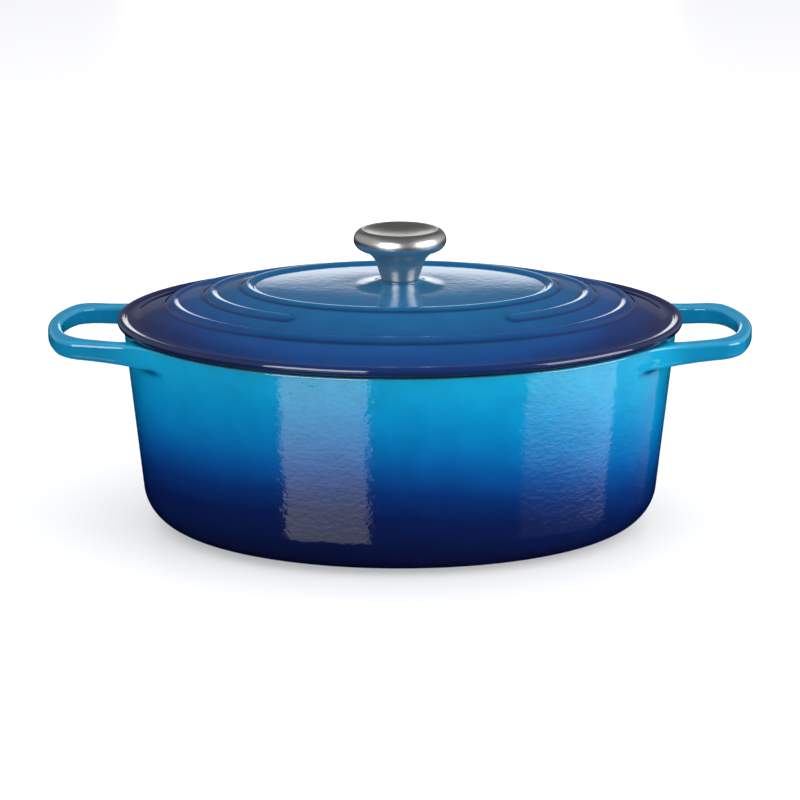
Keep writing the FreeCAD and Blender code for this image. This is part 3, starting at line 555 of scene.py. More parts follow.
def build_pot():
    """Points, faces, face materials, normals, how pale each point's edge is (thinner glaze with a painted
    highlight), and how dark its corner is (painted shade with glaze pooling).
    """
    casting = Casting()
    skin, borders = add_skin(casting)
    crests = [add_crest(casting, skin[border], border) for border in borders]
    foot = oval_ring(POT_LENGTH - RIM_INSET, POT_WIDTH - RIM_INSET, SHOULDER)
    foot_numbers = casting.add_points(foot, np.tile([0.0, 0.0, 1.0], (COLUMNS, 1)))
    add_top_face(casting, crests + [foot_numbers])
    add_rim_and_inside(casting, foot_numbers)

    points = np.concatenate(casting.points)
    points[:, 2] += lift(points[:, 0])
    normals = np.concatenate(casting.normals)
    length = np.linalg.norm(normals, axis=1)
    normals[length > 0] /= length[length > 0][:, None]
    # the pale edge peaks where a rounding leans at 45 degrees: thinner glaze with a painted highlight line
    edges = np.clip(2 * normals[:, 2] * np.hypot(normals[:, 0], normals[:, 1]), 0, 1)
    painted_shade_and_pooling = np.zeros(len(points))
    # the dark corner under each handle's root: painted shade with glaze pooling
    painted_shade_and_pooling[:len(skin)] = painted_corner_shade_and_pooling(skin)
    return points, casting.faces, casting.materials, normals, edges, painted_shade_and_pooling


# ---------------------------------------------------------------- lid

LID_LENGTH = lid_high.x                   # half the lid's length
LID_WIDTH = lid_high.y
LID_EDGE = 2.7                            # radius of its half-round edge
LID_THICKNESS = 3.7
EDGE_MIDDLE = lid_high.z - 23.8           # height of the half-round edge's centre
SEAT = EDGE_MIDDLE - LID_EDGE             # height of the flat that rests on the pot's rim
PLATEAU = lid_high.z - 4.3                # top of the dome, under the pedestal
CROWN = 0.7                               # the plateau is slightly domed
PEDESTAL_RADIUS = 12.6
PEDESTAL_EDGE = 0.45                      # rounding of its top edge
FLARE_FOOT = 29.0                         # radius where the pedestal's flare starts
FLARE_RISE = 3.3
FLARE_SHARE = 1 - CROWN / 4               # the crown takes up the rest of that rise
HOLE_RADIUS = 3.4                         # hole for the knob's screw
HOLE_CHAMFER = 0.3
LID_MOUTH_LENGTH = 160.5                  # mouth of the lid's hollow
LID_MOUTH_WIDTH = 124.0
SKIRT_THICKNESS = 3.5
SKIRT_STRAIGHT = 2.0                      # how far the skirt drops before its rounded end
SKIRT_END = 1.0
RING_HEIGHT = 1.8
RING_REACH = 4.5                          # half the width of a ring's foot
RING_GAP = 67.0                           # half the gap at the front of the middle ring
RINGS = [(141.1, 102.1, PLATEAU - 9.4), (117.4, 83.4, PLATEAU - 4.0), (94.3, 65.1, PLATEAU)]
INNER_RING_LENGTH = RINGS[2][0]
FLANGE = (157.5, 119.0, PLATEAU - 14.4)
LIP = [(165.5, 129.2, PLATEAU - 17.9), (168.2, 131.9, PLATEAU - 18.0), (170.2, 133.9, PLATEAU - 17.1),
       (LID_LENGTH - LID_EDGE, LID_WIDTH - LID_EDGE, PLATEAU - 16.8)]


def ring_relief(x, y):
    """How far the three rings stand over the dome, and how dark their feet are painted: painted shade with
    some glaze pooling.
    """
    shade_and_pool_width, shade_and_pool_outside, shade_and_pool_inside = 1.3, 0.75, 0.3
    relief = np.zeros_like(x)
    groove = np.zeros_like(x)
    for number, (a, b, _) in enumerate(RINGS):
        signed = oval_distance(x, y, a, b)
        distance = np.abs(signed)
        if number == 1:
            # the middle ring stops short of the front, at two rounded ends
            end_y = -b * math.sqrt(1 - (RING_GAP / a) ** 2)
            tangent = np.array([end_y / b**2, RING_GAP / a**2])
            tangent = tangent / np.linalg.norm(tangent)
            dx = np.abs(x) - RING_GAP
            dy = y - end_y
            past_end = (dx * tangent[0] - dy * tangent[1] > 0) & (y < 0)
            distance = np.where(past_end, np.hypot(dx, dy), distance)
        relief += RING_HEIGHT * np.clip(1 - (distance / RING_REACH) ** 2, 0, None)
        # a dark line along each ring's foot, stronger outside it: painted shade with glaze pooling
        foot = np.exp(-((distance - RING_REACH) / shade_and_pool_width) ** 2)
        groove = np.maximum(groove, foot * np.where(signed > 0, shade_and_pool_outside, shade_and_pool_inside))
    return relief, groove


def pedestal_rows():
    """Rows from the knob's hole over the pedestal and down its flare."""
    top = lid_high.z
    flat_edge = PEDESTAL_RADIUS - PEDESTAL_EDGE
    rounds = [(HOLE_RADIUS, top - HOLE_CHAMFER), (HOLE_RADIUS + HOLE_CHAMFER, top), (8.0, top),
              (flat_edge - 0.4, top)]
    for turn in np.linspace(0, QUARTER, 5):
        radius = flat_edge + PEDESTAL_EDGE * math.sin(turn)
        rounds.append((radius, top - PEDESTAL_EDGE * (1 - math.cos(turn))))
    run = FLARE_FOOT - PEDESTAL_RADIUS
    flare = (run**2 + FLARE_RISE**2) / (2 * FLARE_RISE)
    for radius in np.linspace(PEDESTAL_RADIUS, FLARE_FOOT, 14):
        rise = flare - math.sqrt(flare**2 - (FLARE_FOOT - radius) ** 2)
        rounds.append((radius, PLATEAU + CROWN + rise * FLARE_SHARE))
    return [(radius, radius, z, OUTSIDE) for radius, z in rounds]


def dome_rows():
    """Rows from the flare's foot to the edge, close together over the rings and the lip."""
    lengths = stepped((32, 86, 3.5), (86, 102.6, 0.75), (102.6, 109, 2.2), (109, 125.6, 0.75),
                      (125.6, 132.5, 2.2), (132.5, 149, 0.75), (149, 161, 2.0), (161, 167.6, 1.3),
                      (167.6, LID_LENGTH - LID_EDGE, 0.45))
    stations = [(FLARE_FOOT, FLARE_FOOT, PLATEAU), (60.0, 46.0, PLATEAU), *RINGS, FLANGE, *LIP]
    rows = []
    for a, b, z in smooth_curve(stations, lengths):
        share = min((a - FLARE_FOOT) / (INNER_RING_LENGTH - FLARE_FOOT), 1)
        rows.append((a, b, z + CROWN * (1 - share**2), OUTSIDE))
    return rows


def edge_rows():
    """Rows round the lid's half-round edge, black where it nears the seat."""
    rows = []
    for turn in np.linspace(0, math.pi, 17)[1:]:
        inset = LID_EDGE * (1 - math.sin(turn))
        material = BLACK if turn > 0.75 * math.pi else OUTSIDE
        z = EDGE_MIDDLE + LID_EDGE * math.cos(turn)
        rows.append((LID_LENGTH - inset, LID_WIDTH - inset, z, material))
    return rows


def skirt_rows():
    """Rows across the seat, down the skirt's outside and round its end."""
    steps = [(SKIRT_THICKNESS + 1.0, 0.0), (SKIRT_THICKNESS + 0.2, 0.2), (SKIRT_THICKNESS, 0.8)]
    for turn in np.linspace(0, math.pi, 9):
        out = SKIRT_THICKNESS * (1 + math.cos(turn)) / 2
        steps.append((out, SKIRT_STRAIGHT + SKIRT_END * math.sin(turn)))
    return [(LID_MOUTH_LENGTH + out, LID_MOUTH_WIDTH + out, SEAT - drop, BLACK) for out, drop in steps]


def underside_rows():
    """Rows of the pale hollow from the mouth to the screw's hole."""
    t = LID_THICKNESS
    ceiling = PLATEAU - t
    middle_radius = 20.0
    stations = [(a - t, b - t, z - t) for a, b, z in [*RINGS, FLANGE]]
    stations += [(LID_MOUTH_LENGTH, LID_MOUTH_WIDTH, SEAT + 0.4), (60.0, 46.0, ceiling),
                 (middle_radius, middle_radius, ceiling)]
    rows = []
    for a, b, z in smooth_curve(stations, np.linspace(LID_MOUTH_LENGTH, middle_radius, 36)):
        rows.append((a, b, z, PALE))
    for radius, z in ((9.5, ceiling), (HOLE_RADIUS + HOLE_CHAMFER, ceiling),
                      (HOLE_RADIUS, ceiling + HOLE_CHAMFER)):
        rows.append((radius, radius, z, PALE))
    return rows


def build_lid():
    """Points, faces, face materials and the dark ring feet (painted shade with glaze pooling) of the lid, as
    one closed skin.
    """
    rows = pedestal_rows() + dome_rows() + edge_rows() + skirt_rows() + underside_rows()
    points = np.concatenate([oval_ring(a, b, z) for a, b, z, _ in rows])
    row_materials = [row[3] for row in rows]
    upper = np.arange(len(points)) < row_materials.count(OUTSIDE) * COLUMNS
    painted_shade_and_pooling = np.zeros(len(points))
    relief, painted_shade_and_pooling[upper] = ring_relief(points[upper, 0], points[upper, 1])
    points[upper, 2] += relief
    faces = [tuple(reversed(face)) for face in grid_faces(len(rows), COLUMNS, close_rows=True)]
    face_materials = []
    for row, material in enumerate(row_materials):
        following = row_materials[(row + 1) % len(rows)]
        face_materials += [max(material, following)] * COLUMNS
    return points, faces, face_materials, painted_shade_and_pooling


def nub_section():
    """A stabiliser nub of the lid's skirt, from the axis on top to its rounded end."""
    radius, rounding, sink = 2.6, 1.4, 0.3
    corner = (radius - rounding, lid_low.z + rounding)
    top = SEAT - sink
    return [(0.0, top), (radius, top), *arc_points(corner, rounding, 0, -QUARTER, 8), (0.0, lid_low.z)]


# ---------------------------------------------------------------- knob

NECK_RADIUS = 11.4
THROAT_RADIUS, THROAT_HEIGHT = 14.6, 10.0     # end of the straight neck, over its foot
ROLL_RADIUS, ROLL_HEIGHT = 6.5, 25.1          # round section of the grip's edge, and its centre's height
KNOB_WALL = 1.5
LIP_ANGLE = math.radians(85)                  # where the roll ends on top
INNER_LIP_ANGLE = math.radians(94)
CAP_SEAT_INSET = 0.5                          # from the roll's centre in to the cap's seat
BUSH_BORE, BUSH_TOP = 8.1, 10.4               # inside of the neck round the bush
CAP_DISH = 2.8
CAP_THICKNESS = 1.5
CAP_LIFT = 0.3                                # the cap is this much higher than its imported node


def arc_points(centre, radius, start, end, count):
    """Section points (radius, height) along an arc."""
    turns = np.linspace(start, end, count)
    return [(centre[0] + radius * math.cos(t), centre[1] + radius * math.sin(t)) for t in turns]


def lathe(section, columns=256, closed=True):
    """Points and faces of a section turned about Z; an open section ends on the axis at both ends."""
    angle = np.linspace(0, 2 * math.pi, columns, endpoint=False)
    body = section if closed else section[1:-1]
    points = [(r * math.cos(t), r * math.sin(t), z) for r, z in body for t in angle]
    faces = grid_faces(len(body), columns, close_rows=closed)
    if not closed:
        first, last = len(points), len(points) + 1
        points += [(0.0, 0.0, section[0][1]), (0.0, 0.0, section[-1][1])]
        last_row = (len(body) - 1) * columns
        for i in range(columns):
            j = (i + 1) % columns
            faces.append((j, i, first))
            faces.append((last_row + i, last_row + j, last))
    return np.array(points), faces


def knob_section():
    """The shell's section, from its foot: neck, throat, rolled grip edge, lip and the inside."""
    seat, top = knob_low.z, knob_high.z
    throat = (THROAT_RADIUS, seat + THROAT_HEIGHT)
    roll_centre = (knob_high.x - ROLL_RADIUS, seat + ROLL_HEIGHT)
    # the flare is the arc that leaves the neck smoothly at the throat and meets the roll smoothly
    slope = math.atan2(THROAT_HEIGHT, THROAT_RADIUS - NECK_RADIUS)
    away = (math.sin(slope), -math.cos(slope))
    gap = (throat[0] - roll_centre[0], throat[1] - roll_centre[1])
    lean = away[0] * gap[0] + away[1] * gap[1]
    flare = (gap[0] ** 2 + gap[1] ** 2 - ROLL_RADIUS**2) / (2 * (ROLL_RADIUS - lean))
    flare_centre = (throat[0] + flare * away[0], throat[1] + flare * away[1])
    meet = math.atan2(roll_centre[1] - flare_centre[1], roll_centre[0] - flare_centre[0])
    cap_edge = roll_centre[0] - CAP_SEAT_INSET
    lip_middle = (roll_centre[0] + ROLL_RADIUS * math.cos(LIP_ANGLE) + cap_edge) / 2

    section = [(NECK_RADIUS - 0.4, seat), (NECK_RADIUS - 0.1, seat + 0.1), (NECK_RADIUS + 0.05, seat + 0.5)]
    for share in (0.25, 0.5, 0.75):
        radius = NECK_RADIUS + (THROAT_RADIUS - NECK_RADIUS) * share
        section.append((radius, seat + THROAT_HEIGHT * share))
    section += arc_points(flare_centre, flare, slope + QUARTER, meet, 24)
    section += arc_points(roll_centre, ROLL_RADIUS, meet - math.pi, LIP_ANGLE, 40)[1:]
    section += [(lip_middle, top), (cap_edge + 0.15, top - 0.05), (cap_edge, top - 0.25),
                (cap_edge, top - 1.4)]
    section += arc_points(roll_centre, ROLL_RADIUS - KNOB_WALL, INNER_LIP_ANGLE, meet - math.pi, 24)
    section += arc_points(flare_centre, flare + KNOB_WALL, meet, slope + QUARTER, 16)[1:]
    return section + [(BUSH_BORE, seat + BUSH_TOP), (BUSH_BORE, seat)]


def cap_section():
    """The dished cap's section, from the axis on top to the axis underneath."""
    _, high = node_box("knob_cap")
    edge, top = high.x, high.z + CAP_LIFT
    side = edge - 0.02
    section = [(0.0, top - CAP_DISH)]
    for share in np.linspace(0.06, 0.97, 18):
        section.append((edge * share, top - CAP_DISH * (1 - share**2)))
    section += [(edge - 0.15, top - 0.06), (side, top - 0.2), (side, top - 1.1)]
    for share in (0.9, 0.7, 0.5, 0.3, 0.1):
        section.append((edge * share, top - CAP_THICKNESS - CAP_DISH * (1 - share**2)))
    return section + [(0.0, top - CAP_THICKNESS - CAP_DISH)]


def bush_section():
    """The threaded bush's section: chamfered ends and a grooved outside."""
    low, high = node_box("knob_insert")
    outer, inner, chamfer, groove = high.x, 3.0, 0.5, 0.35
    section = [(inner + chamfer, low.z), (outer - chamfer, low.z), (outer, low.z + chamfer)]
    for number, z in enumerate(np.linspace(0.2, 0.8, 9) * (high.z - low.z) + low.z):
        section.append((outer - groove * (number % 2), z))
    return section + [(outer, high.z - chamfer), (outer - chamfer, high.z), (inner + chamfer, high.z),
                      (inner, high.z - chamfer), (inner, low.z + chamfer)]


# ---------------------------------------------------------------- materials

class Nodes:
    """A node tree and short ways to add nodes to it."""

    def __init__(self, tree):
        self.nodes = tree.nodes
        self.links = tree.links

    def node(self, kind, **settings):
        made = self.nodes.new(kind)
        for name, value in settings.items():
            setattr(made, name, value)
        return made

    def feed(self, socket, value):
        """Link an output to a socket, or set a plain value on it."""
        if hasattr(value, "is_output"):
            self.links.new(value, socket)
        else:
            socket.default_value = value

    def spread(self, value, low, high, to_low, to_high, smooth=False):
        """A value's range from low to high, mapped to another range and held at its ends."""
        made = self.node("ShaderNodeMapRange")
        if smooth:
            made.interpolation_type = "SMOOTHSTEP"
        self.feed(made.inputs["Value"], value)
        for name, number in (("From Min", low), ("From Max", high), ("To Min", to_low), ("To Max", to_high)):
            made.inputs[name].default_value = number
        return made.outputs["Result"]

    def math(self, operation, first, second):
        made = self.node("ShaderNodeMath", operation=operation)
        self.feed(made.inputs[0], first)
        self.feed(made.inputs[1], second)
        return made.outputs[0]

    def vector(self, operation, first, second=(0.0, 0.0, 0.0)):
        """The node of a vector operation with a plain second vector."""
        made = self.node("ShaderNodeVectorMath", operation=operation)
        self.feed(made.inputs[0], first)
        made.inputs[1].default_value = second
        return made

    def parts(self, vector):
        """A vector's X, Y and Z."""
        split = self.node("ShaderNodeSeparateXYZ")
        self.feed(split.inputs[0], vector)
        return split.outputs


class Shader(Nodes):
    """A material round its Principled shader."""

    def __init__(self, name):
        self.material = bpy.data.materials.new(name)
        self.material.use_nodes = True
        super().__init__(self.material.node_tree)
        self.surface = self.nodes["Principled BSDF"]
        self.place = self.node("ShaderNodeTexCoord").outputs["Object"]

    def set(self, **values):
        for name, value in values.items():
            self.feed(self.surface.inputs[name.replace("_", " ").title().replace("Ior", "IOR")], value)

    def noise(self, scale, detail=3.0, roughness=0.5, vector=None):
        made = self.node("ShaderNodeTexNoise")
        self.feed(made.inputs["Vector"], vector or self.place)
        made.inputs["Scale"].default_value = scale
        made.inputs["Detail"].default_value = detail
        made.inputs["Roughness"].default_value = roughness
        return made.outputs["Fac"]

    def painted(self, name):
        """The value that each point of the mesh carries under a name."""
        return self.node("ShaderNodeAttribute", attribute_name=name).outputs["Fac"]

    def ramp(self, value, stops):
        made = self.node("ShaderNodeValToRGB")
        self.feed(made.inputs["Fac"], value)
        elements = made.color_ramp.elements
        elements[0].position, elements[1].position = stops[0][0], stops[-1][0]
        elements[0].color = stops[0][1] + (1.0,)
        elements[1].color = stops[-1][1] + (1.0,)
        for position, colour in stops[1:-1]:
            elements.new(position).color = colour + (1.0,)
        return made.outputs["Color"]

    def blend(self, factor, first, second, mode="MIX"):
        made = self.node("ShaderNodeMix", data_type="RGBA", blend_type=mode)
        # a colour mix has its two colours on inputs 6 and 7
        for socket, value in (("Factor", factor), (6, first), (7, second)):
            self.feed(made.inputs[socket], value + (1.0,) if isinstance(value, tuple) else value)
        return made.outputs[2]

    def bump(self, *layers):
        """Chain of bumps from (height, depth in metres) pairs."""
        normal = None
        for height, depth in layers:
            made = self.node("ShaderNodeBump")
            made.inputs["Distance"].default_value = depth
            self.feed(made.inputs["Height"], height)
            if normal is not None:
                self.feed(made.inputs["Normal"], normal)
            normal = made.outputs["Normal"]
        return normal


def glaze(shader, colour, depth, smoothest):
    """The finish of the gloss enamels: glass that follows the cast ground by a depth in metres."""
    stretched = shader.vector("MULTIPLY", shader.place, (1.0, 1.0, 1.7)).outputs[0]
    ripple = shader.noise(230.0, 2.0, 0.5, stretched)
    waves = shader.noise(38.0, 1.0)
    mottle = shader.noise(900.0, 2.0)
    tint = shader.spread(shader.noise(60.0, 4.0), 0.3, 0.7, 0.93, 1.07)
    tone = shader.node("ShaderNodeCombineColor")
    for socket in tone.inputs[:3]:
        shader.feed(socket, tint)
    shader.set(base_color=shader.blend(1.0, colour, tone.outputs[0], "MULTIPLY"),
               roughness=shader.spread(mottle, 0.3, 0.7, smoothest, smoothest + 0.04),
               ior=1.5,
               normal=shader.bump((waves, depth * 1.5), (ripple, depth), (mottle, depth * 0.05)))


def pot_enamel():
    """Navy at the base to light blue at the shoulder, paler on edges as thinner glaze with a painted
    highlight, darker in the handles' corners as painted shade with glaze pooling.
    """
    shader = Shader("pot_enamel_gradient")
    place = shader.parts(shader.place)
    drift = shader.spread(shader.noise(14.0, 2.0), 0.3, 0.7, -0.012, 0.012)
    # the light blue reaches lower at the two ends, and a little lower at the right
    tilt = shader.math("MULTIPLY", place["X"], 0.32)
    dip = shader.math("MULTIPLY", shader.math("POWER", place["X"], 2.0), 4.4)
    share = shader.math("ADD", shader.spread(place["Z"], 0.0, pot_high.z * MM, 0.0, 1.0),
                        shader.math("ADD", drift, shader.math("ADD", tilt, dip)))
    colour = shader.ramp(share, [
        (0.0, (0.003, 0.0036, 0.029)), (0.13, (0.003, 0.007, 0.042)), (0.30, (0.0025, 0.0103, 0.069)),
        (0.42, (0.002, 0.025, 0.139)), (0.54, (0.0015, 0.07, 0.27)), (0.66, (0.001, 0.144, 0.385)),
        (0.82, (0.0015, 0.226, 0.475)), (1.0, (0.006, 0.31, 0.54)),
    ])
    # paler on the rounded edges: thinner glaze with a painted highlight
    thin_glaze_and_painted_highlight = shader.math("MULTIPLY", shader.painted("edge"), 0.4)
    colour = shader.blend(thin_glaze_and_painted_highlight, colour, (0.07, 0.5, 0.7))
    outward = shader.math("ABSOLUTE", place["X"], 0.0)
    on_handle = shader.spread(outward, (POT_LENGTH - 16) * MM, (POT_LENGTH + 8) * MM, 0.0, 1.0)
    deeper = shader.blend(1.0, colour, (0.7, 0.62, 0.68), "MULTIPLY")
    colour = shader.blend(on_handle, colour, deeper)
    # darker in the corner under each handle's root: painted shade with glaze pooling
    corner_shade_and_pooling = shader.math("MULTIPLY", shader.painted("groove"), 0.85)
    colour = shader.blend(corner_shade_and_pooling, colour, (0.001, 0.02, 0.1))
    glaze(shader, colour, 0.0001, 0.05)
    return shader.material


def lid_enamel():
    """Steel blue in the middle to indigo at the edge, darker along the rings' feet as painted shade with
    glaze pooling.
    """
    shader = Shader("lid_enamel_gradient")
    reach = (1 / (LID_LENGTH * MM), 1 / (1.18 * LID_WIDTH * MM), 0.0)
    scaled = shader.vector("MULTIPLY", shader.place, reach).outputs[0]
    drift = shader.spread(shader.noise(14.0, 2.0), 0.3, 0.7, -0.015, 0.015)
    share = shader.math("ADD", shader.vector("LENGTH", scaled).outputs["Value"], drift)
    colour = shader.ramp(share, [
        (0.0, (0.006, 0.12, 0.27)), (0.25, (0.005, 0.102, 0.234)), (0.5, (0.004, 0.078, 0.198)),
        (0.66, (0.004, 0.055, 0.17)), (0.76, (0.004, 0.04, 0.16)), (0.84, (0.005, 0.021, 0.1)),
        (0.92, (0.006, 0.012, 0.058)), (1.0, (0.007, 0.009, 0.042)),
    ])
    # darker along the rings' feet: painted shade with glaze pooling
    colour = shader.blend(shader.painted("groove"), colour, (0.004, 0.012, 0.06))
    glaze(shader, colour, 0.00003, 0.04)
    return shader.material


def pale_enamel():
    """The cream inside, faintly clouded and speckled."""
    shader = Shader("pale_enamel")
    speck = shader.spread(shader.noise(2600.0, 1.0), 0.66, 0.72, 0.0, 0.35)
    cloud = shader.ramp(shader.noise(22.0, 3.0), [(0.3, (0.66, 0.57, 0.43)), (0.7, (0.72, 0.63, 0.49))])
    shader.set(base_color=shader.blend(speck, cloud, (0.42, 0.33, 0.22)),
               roughness=shader.spread(shader.noise(400.0), 0.3, 0.7, 0.16, 0.26),
               normal=shader.bump((shader.noise(38.0, 1.0), 0.0002), (shader.noise(300.0), 0.00004)))
    return shader.material


def black_enamel():
    """The matt black of the rims, with a fine grain."""
    shader = Shader("black_rim_enamel")
    grain = shader.noise(1500.0, 3.0, 0.7)
    shader.set(base_color=shader.ramp(grain, [(0.3, (0.006, 0.006, 0.007)), (0.75, (0.022, 0.022, 0.024))]),
               roughness=shader.spread(shader.noise(200.0), 0.3, 0.7, 0.42, 0.6),
               normal=shader.bump((grain, 0.00005)))
    return shader.material


def steel(name, tone, fineness, low_roughness, high_roughness):
    """Stainless steel brushed round its axis: fine lines run along the turning direction."""
    shader = Shader(name)
    place = shader.parts(shader.place)
    radius = shader.math("SQRT", shader.math("ADD", shader.math("POWER", place["X"], 2.0),
                                             shader.math("POWER", place["Y"], 2.0)), 0.0)
    turn = shader.math("ARCTAN2", place["Y"], place["X"])
    along = shader.node("ShaderNodeCombineXYZ")
    shader.feed(along.inputs["X"], radius)
    shader.feed(along.inputs["Y"], shader.math("MULTIPLY", turn, 0.0006))
    shader.feed(along.inputs["Z"], place["Z"])
    lines = shader.noise(fineness, 3.0, 0.6, along.outputs[0])
    smudge = shader.noise(55.0, 3.0)
    shade = shader.spread(lines, 0.25, 0.75, 0.93, 1.03)
    colour = shader.node("ShaderNodeCombineColor")
    for socket, part in zip(colour.inputs, tone):
        shader.feed(socket, shader.math("MULTIPLY", shade, part))
    rough = shader.math("ADD", shader.spread(lines, 0.3, 0.7, low_roughness, high_roughness),
                        shader.spread(smudge, 0.4, 0.7, 0.0, 0.05))
    shader.set(base_color=colour.outputs[0], metallic=1.0, roughness=rough,
               normal=shader.bump((lines, 0.0000015)))
    return shader.material


def floor_white():
    shader = Shader("floor_white")
    shader.set(base_color=(0.56, 0.56, 0.57, 1.0), roughness=0.16,
               emission_color=(0.98, 0.99, 1.0, 1.0), emission_strength=0.43,
               normal=shader.bump((shader.noise(120.0), 0.00001)))
    return shader.material


def backdrop_white():
    shader = Shader("backdrop_white")
    shader.set(base_color=(0.0, 0.0, 0.0, 1.0), roughness=1.0,
               emission_color=(0.98, 0.99, 1.0, 1.0), emission_strength=0.9)
    shader.material.cycles.emission_sampling = "NONE"
    return shader.material


def strip_glow(name, dim, bright, fade_from, fade_to):
    """Plain light that grows from dim to bright between two heights in metres."""
    material = bpy.data.materials.new(name)
    material.use_nodes = True
    material.cycles.emission_sampling = "NONE"
    tree = Nodes(material.node_tree)
    tree.nodes.clear()
    height = tree.parts(tree.node("ShaderNodeTexCoord").outputs["Object"])["Z"]
    glow = tree.node("ShaderNodeEmission")
    tree.feed(glow.inputs["Strength"], tree.spread(height, fade_from, fade_to, dim, bright))
    tree.feed(tree.node("ShaderNodeOutputMaterial").inputs["Surface"], glow.outputs[0])
    return material


# ---------------------------------------------------------------- studio, in metres

FLOOR_REACH = 9.0
BACKDROP_RADIUS, BACKDROP_HEIGHT = 8.9, 8.0
LIGHT_DISTANCE = 1.7                          # from the pot's middle to the soft lights and the cards
CARD_LOW = -1.15
CARD_MARGIN = 0.08                            # how far a card reaches over its fade
CAMERA_PLACE = (0.0, -1.6, 0.5166)
CAMERA_TILT = 0.2688                          # radians under the horizon
CAMERA_LENS, CAMERA_SENSOR = 119.6, 36.0      # millimetres


def add_stage(name, points, faces, material):
    """A mesh that belongs to the studio and isn't part of the object."""
    mesh = bpy.data.meshes.new(name)
    mesh.from_pydata(points, [], faces)
    mesh.materials.append(material)
    stage = bpy.data.objects.new(name, mesh)
    bpy.context.scene.collection.objects.link(stage)
    return stage


def curved_wall(azimuth_from, azimuth_to, steps, distance, low, high):
    """Points and faces of an upright wall round the pot; azimuth 0 is the front, in degrees."""
    points = []
    for azimuth in np.radians(np.linspace(azimuth_from, azimuth_to, steps + 1)):
        x, y = distance * math.sin(azimuth), -distance * math.cos(azimuth)
        points += [(x, y, low), (x, y, high)]
    faces = [(2 * i, 2 * i + 2, 2 * i + 3, 2 * i + 1) for i in range(steps)]
    return points, faces


def add_floor():
    reach = FLOOR_REACH
    corners = [(-reach, -reach, 0), (reach, -reach, 0), (reach, reach, 0), (-reach, reach, 0)]
    floor = add_stage("floor", corners, [(0, 1, 2, 3)], floor_white())
    floor.visible_glossy = False


def add_backdrop():
    """A pale round wall at the floor's edge that only the camera sees, for views near the horizon."""
    points, faces = curved_wall(0, 360, 64, BACKDROP_RADIUS, 0.0, BACKDROP_HEIGHT)
    backdrop = add_stage("backdrop", points, faces, backdrop_white())
    backdrop.visible_diffuse = False
    backdrop.visible_glossy = False
    backdrop.visible_transmission = False
    backdrop.visible_volume_scatter = False
    backdrop.visible_shadow = False


def add_strip_card(name, azimuth_from, azimuth_to, dim, bright, fade_from, fade_to):
    """The image of a soft light in the shiny floor: a bent card that fades downwards."""
    points, faces = curved_wall(azimuth_from, azimuth_to, 8, LIGHT_DISTANCE, CARD_LOW, fade_to + CARD_MARGIN)
    card = add_stage(name, points, faces, strip_glow(name, dim, bright, fade_from, fade_to))
    card.visible_camera = False


def add_area_light(name, place, target, size, radiance):
    light = bpy.data.lights.new(name, "AREA")
    light.shape = "RECTANGLE"
    light.size, light.size_y = size
    light.energy = radiance * math.pi * size[0] * size[1]
    lamp = bpy.data.objects.new(name, light)
    lamp.location = place
    lamp.rotation_euler = (Vector(target) - Vector(place)).to_track_quat("-Z", "Y").to_euler()
    lamp.visible_camera = False
    bpy.context.scene.collection.objects.link(lamp)
    return lamp


def add_softbox(name, azimuth, width, radiance):
    """An upright soft light that only reflections show; azimuth 0 is the front, in degrees."""
    height, middle = 1.2, 0.7
    x = LIGHT_DISTANCE * math.sin(math.radians(azimuth))
    y = -LIGHT_DISTANCE * math.cos(math.radians(azimuth))
    lamp = add_area_light(name, (x, y, middle), (0, 0, middle), (width, height), radiance)
    lamp.visible_diffuse = False


def add_fill(name, place, size, radiance):
    """Broad soft light that reflections don't show."""
    lamp = add_area_light(name, place, (0, place[1] * 0.5, 0), size, radiance)
    lamp.visible_glossy = False


def light_world():
    """A dim room with a bright backdrop that ends a little over the horizon, and softer flanks."""
    world = bpy.data.worlds.new("studio")
    bpy.context.scene.world = world
    world.use_nodes = True
    tree = Nodes(world.node_tree)
    direction = tree.node("ShaderNodeTexCoord").outputs["Generated"]

    def towards(axis, low, high, amount):
        """A smooth rise to an amount, as the direction's part along an axis goes from low to high."""
        dot = tree.vector("DOT_PRODUCT", direction, axis)
        return tree.spread(dot.outputs["Value"], low, high, 0.0, amount, smooth=True)

    def to_both_sides(low, high, amount):
        """The same rise towards the right and towards the left."""
        right = towards((1, 0, 0), low, high, amount)
        return tree.math("MAXIMUM", right, towards((-1, 0, 0), low, high, amount))

    room = 0.12
    above_floor = towards((0, 0, 1), -0.02, 0.0, 1.0)
    below_ceiling = towards((0, 0, -1), -0.2385, -0.191, 1.9)
    middle = tree.math("SUBTRACT", 1.0, to_both_sides(0.05, 0.11, 0.97))
    behind = tree.math("MULTIPLY", towards((0, 1, 0), 0.0, 0.5, 1.0), middle)
    backdrop = tree.math("MULTIPLY", below_ceiling, behind)
    glow = tree.math("ADD", tree.math("ADD", backdrop, to_both_sides(0.35, 0.7, 0.35)), room)
    background = tree.nodes["Background"]
    tree.feed(background.inputs["Strength"], tree.math("MULTIPLY", above_floor, glow))
    background.inputs["Color"].default_value = (1.0, 1.0, 1.0, 1.0)


def add_camera():
    camera = bpy.data.cameras.new("camera")
    camera.lens = CAMERA_LENS
    camera.sensor_width = CAMERA_SENSOR
    seat = bpy.data.objects.new("camera", camera)
    seat.location = CAMERA_PLACE
    seat.rotation_euler = (QUARTER - CAMERA_TILT, 0.0, 0.0)
    bpy.context.scene.collection.objects.link(seat)
    bpy.context.scene.camera = seat


# ---------------------------------------------------------------- assembly

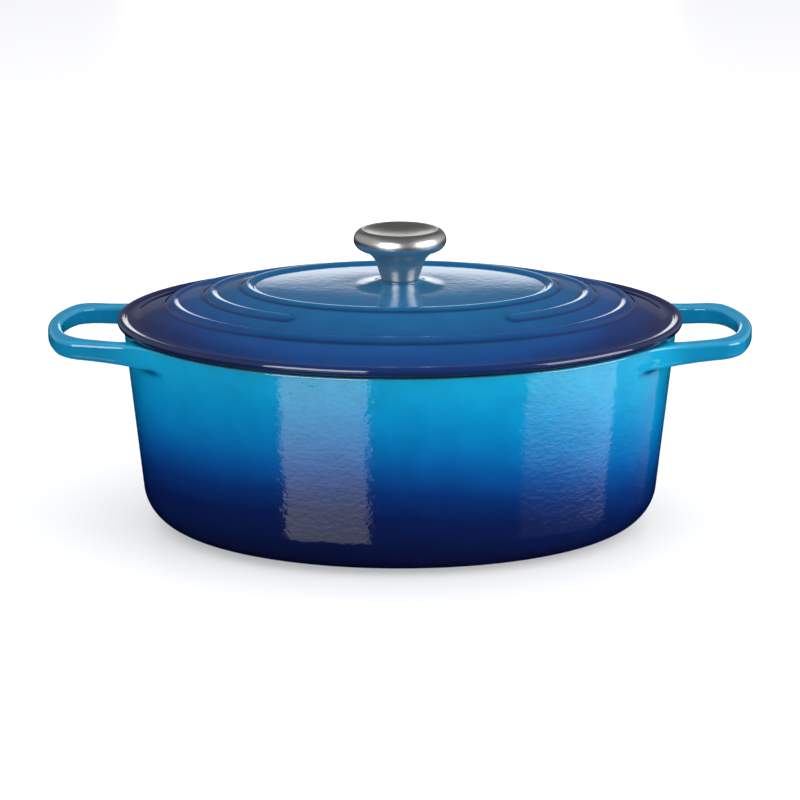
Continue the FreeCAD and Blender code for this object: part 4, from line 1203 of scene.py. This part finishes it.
def add_pot(black, pale):
    points, faces, face_materials, normals, edges, painted_shade_and_pooling = build_pot()
    materials = [pot_enamel(), black, pale]
    pot_casting = make_piece("pot_casting", points, faces, "pot", materials, face_materials, normals)
    # the edge value paints the pale edges (thinner glaze with a painted highlight), the groove value the
    # dark handle corners (painted shade with glaze pooling)
    paint(pot_casting, "edge", edges)
    paint(pot_casting, "groove", painted_shade_and_pooling)
    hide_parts("pot")


def add_lid(black, pale):
    points, faces, face_materials, painted_shade_and_pooling = build_lid()
    materials = [lid_enamel(), black, pale]
    lid_casting = make_piece("lid_casting", points, faces, "lid", materials, face_materials)
    # the groove value paints the rings' dark feet: painted shade with glaze pooling
    paint(lid_casting, "groove", painted_shade_and_pooling)
    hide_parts("lid")


def add_nubs(black):
    """The four stabiliser nubs, just outside the lid's mouth."""
    x, y = LID_MOUTH_LENGTH + 2.6, LID_MOUTH_WIDTH + 2.6
    points, faces = lathe(nub_section(), columns=48, closed=False)
    places = {"left": (-x, 0, 0), "right": (x, 0, 0), "front": (0, -y, 0), "back": (0, y, 0)}
    for name, place in places.items():
        nub = make_piece(f"skirt_nub_{name}", points + np.array(place), faces, "lid", [black])


def add_knob():
    finish = steel("brushed_knob_steel", (0.62, 0.61, 0.59), 2400.0, 0.24, 0.36)
    points, faces = lathe(knob_section())
    knob_shell = make_piece("knob_shell", points, faces, "lid", [finish])
    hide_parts("knob_body")
    points, faces = lathe(cap_section(), closed=False)
    cap = make_piece("knob_top_cap", points, faces, "lid", [finish])
    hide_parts("knob_cap")


def add_fasteners():
    """The threaded bush, and a finish with soft edges for the washers and the screw."""
    finish = steel("fastener_steel", (0.5, 0.5, 0.51), 1800.0, 0.24, 0.38)
    points, faces = lathe(bush_section(), columns=96)
    bush = make_piece("threaded_bush", points, faces, "lid", [finish])
    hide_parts("knob_insert")
    for node in ("flat_washer", "lock_washer", "knob_screw"):
        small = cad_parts[node]
        small.data.materials.clear()
        small.data.materials.append(finish)
        bevel = small.modifiers.new("soft_edges", "BEVEL")
        bevel.width = 0.15 * MM
        bevel.segments = 2
        bevel.limit_method = "ANGLE"


pale, black = pale_enamel(), black_enamel()
add_pot(black, pale)
add_lid(black, pale)
add_nubs(black)
add_knob()
add_fasteners()

add_floor()
add_backdrop()
light_world()
add_strip_card("left_strip_image", -11, -42.5, 1.1, 2.5, -0.86, -0.63)
add_strip_card("right_strip_image", 44.5, 88, 0.1, 1.9, -0.74, -0.56)
add_strip_card("right_edge_image", 88, 128, 0.0, 0.45, -0.62, -0.44)
add_softbox("left_softbox", -28, 1.05, 9.0)
add_softbox("right_softbox", 70, 1.3, 7.0)
add_fill("overhead_fill", (0, 0.3, 3.0), (9.0, 9.0), 1.7)
add_fill("side_fill", (2.0, -0.93, 0.95), (1.8, 1.8), 3.0)
add_camera()
bpy.context.scene.view_settings.view_transform = "Standard"
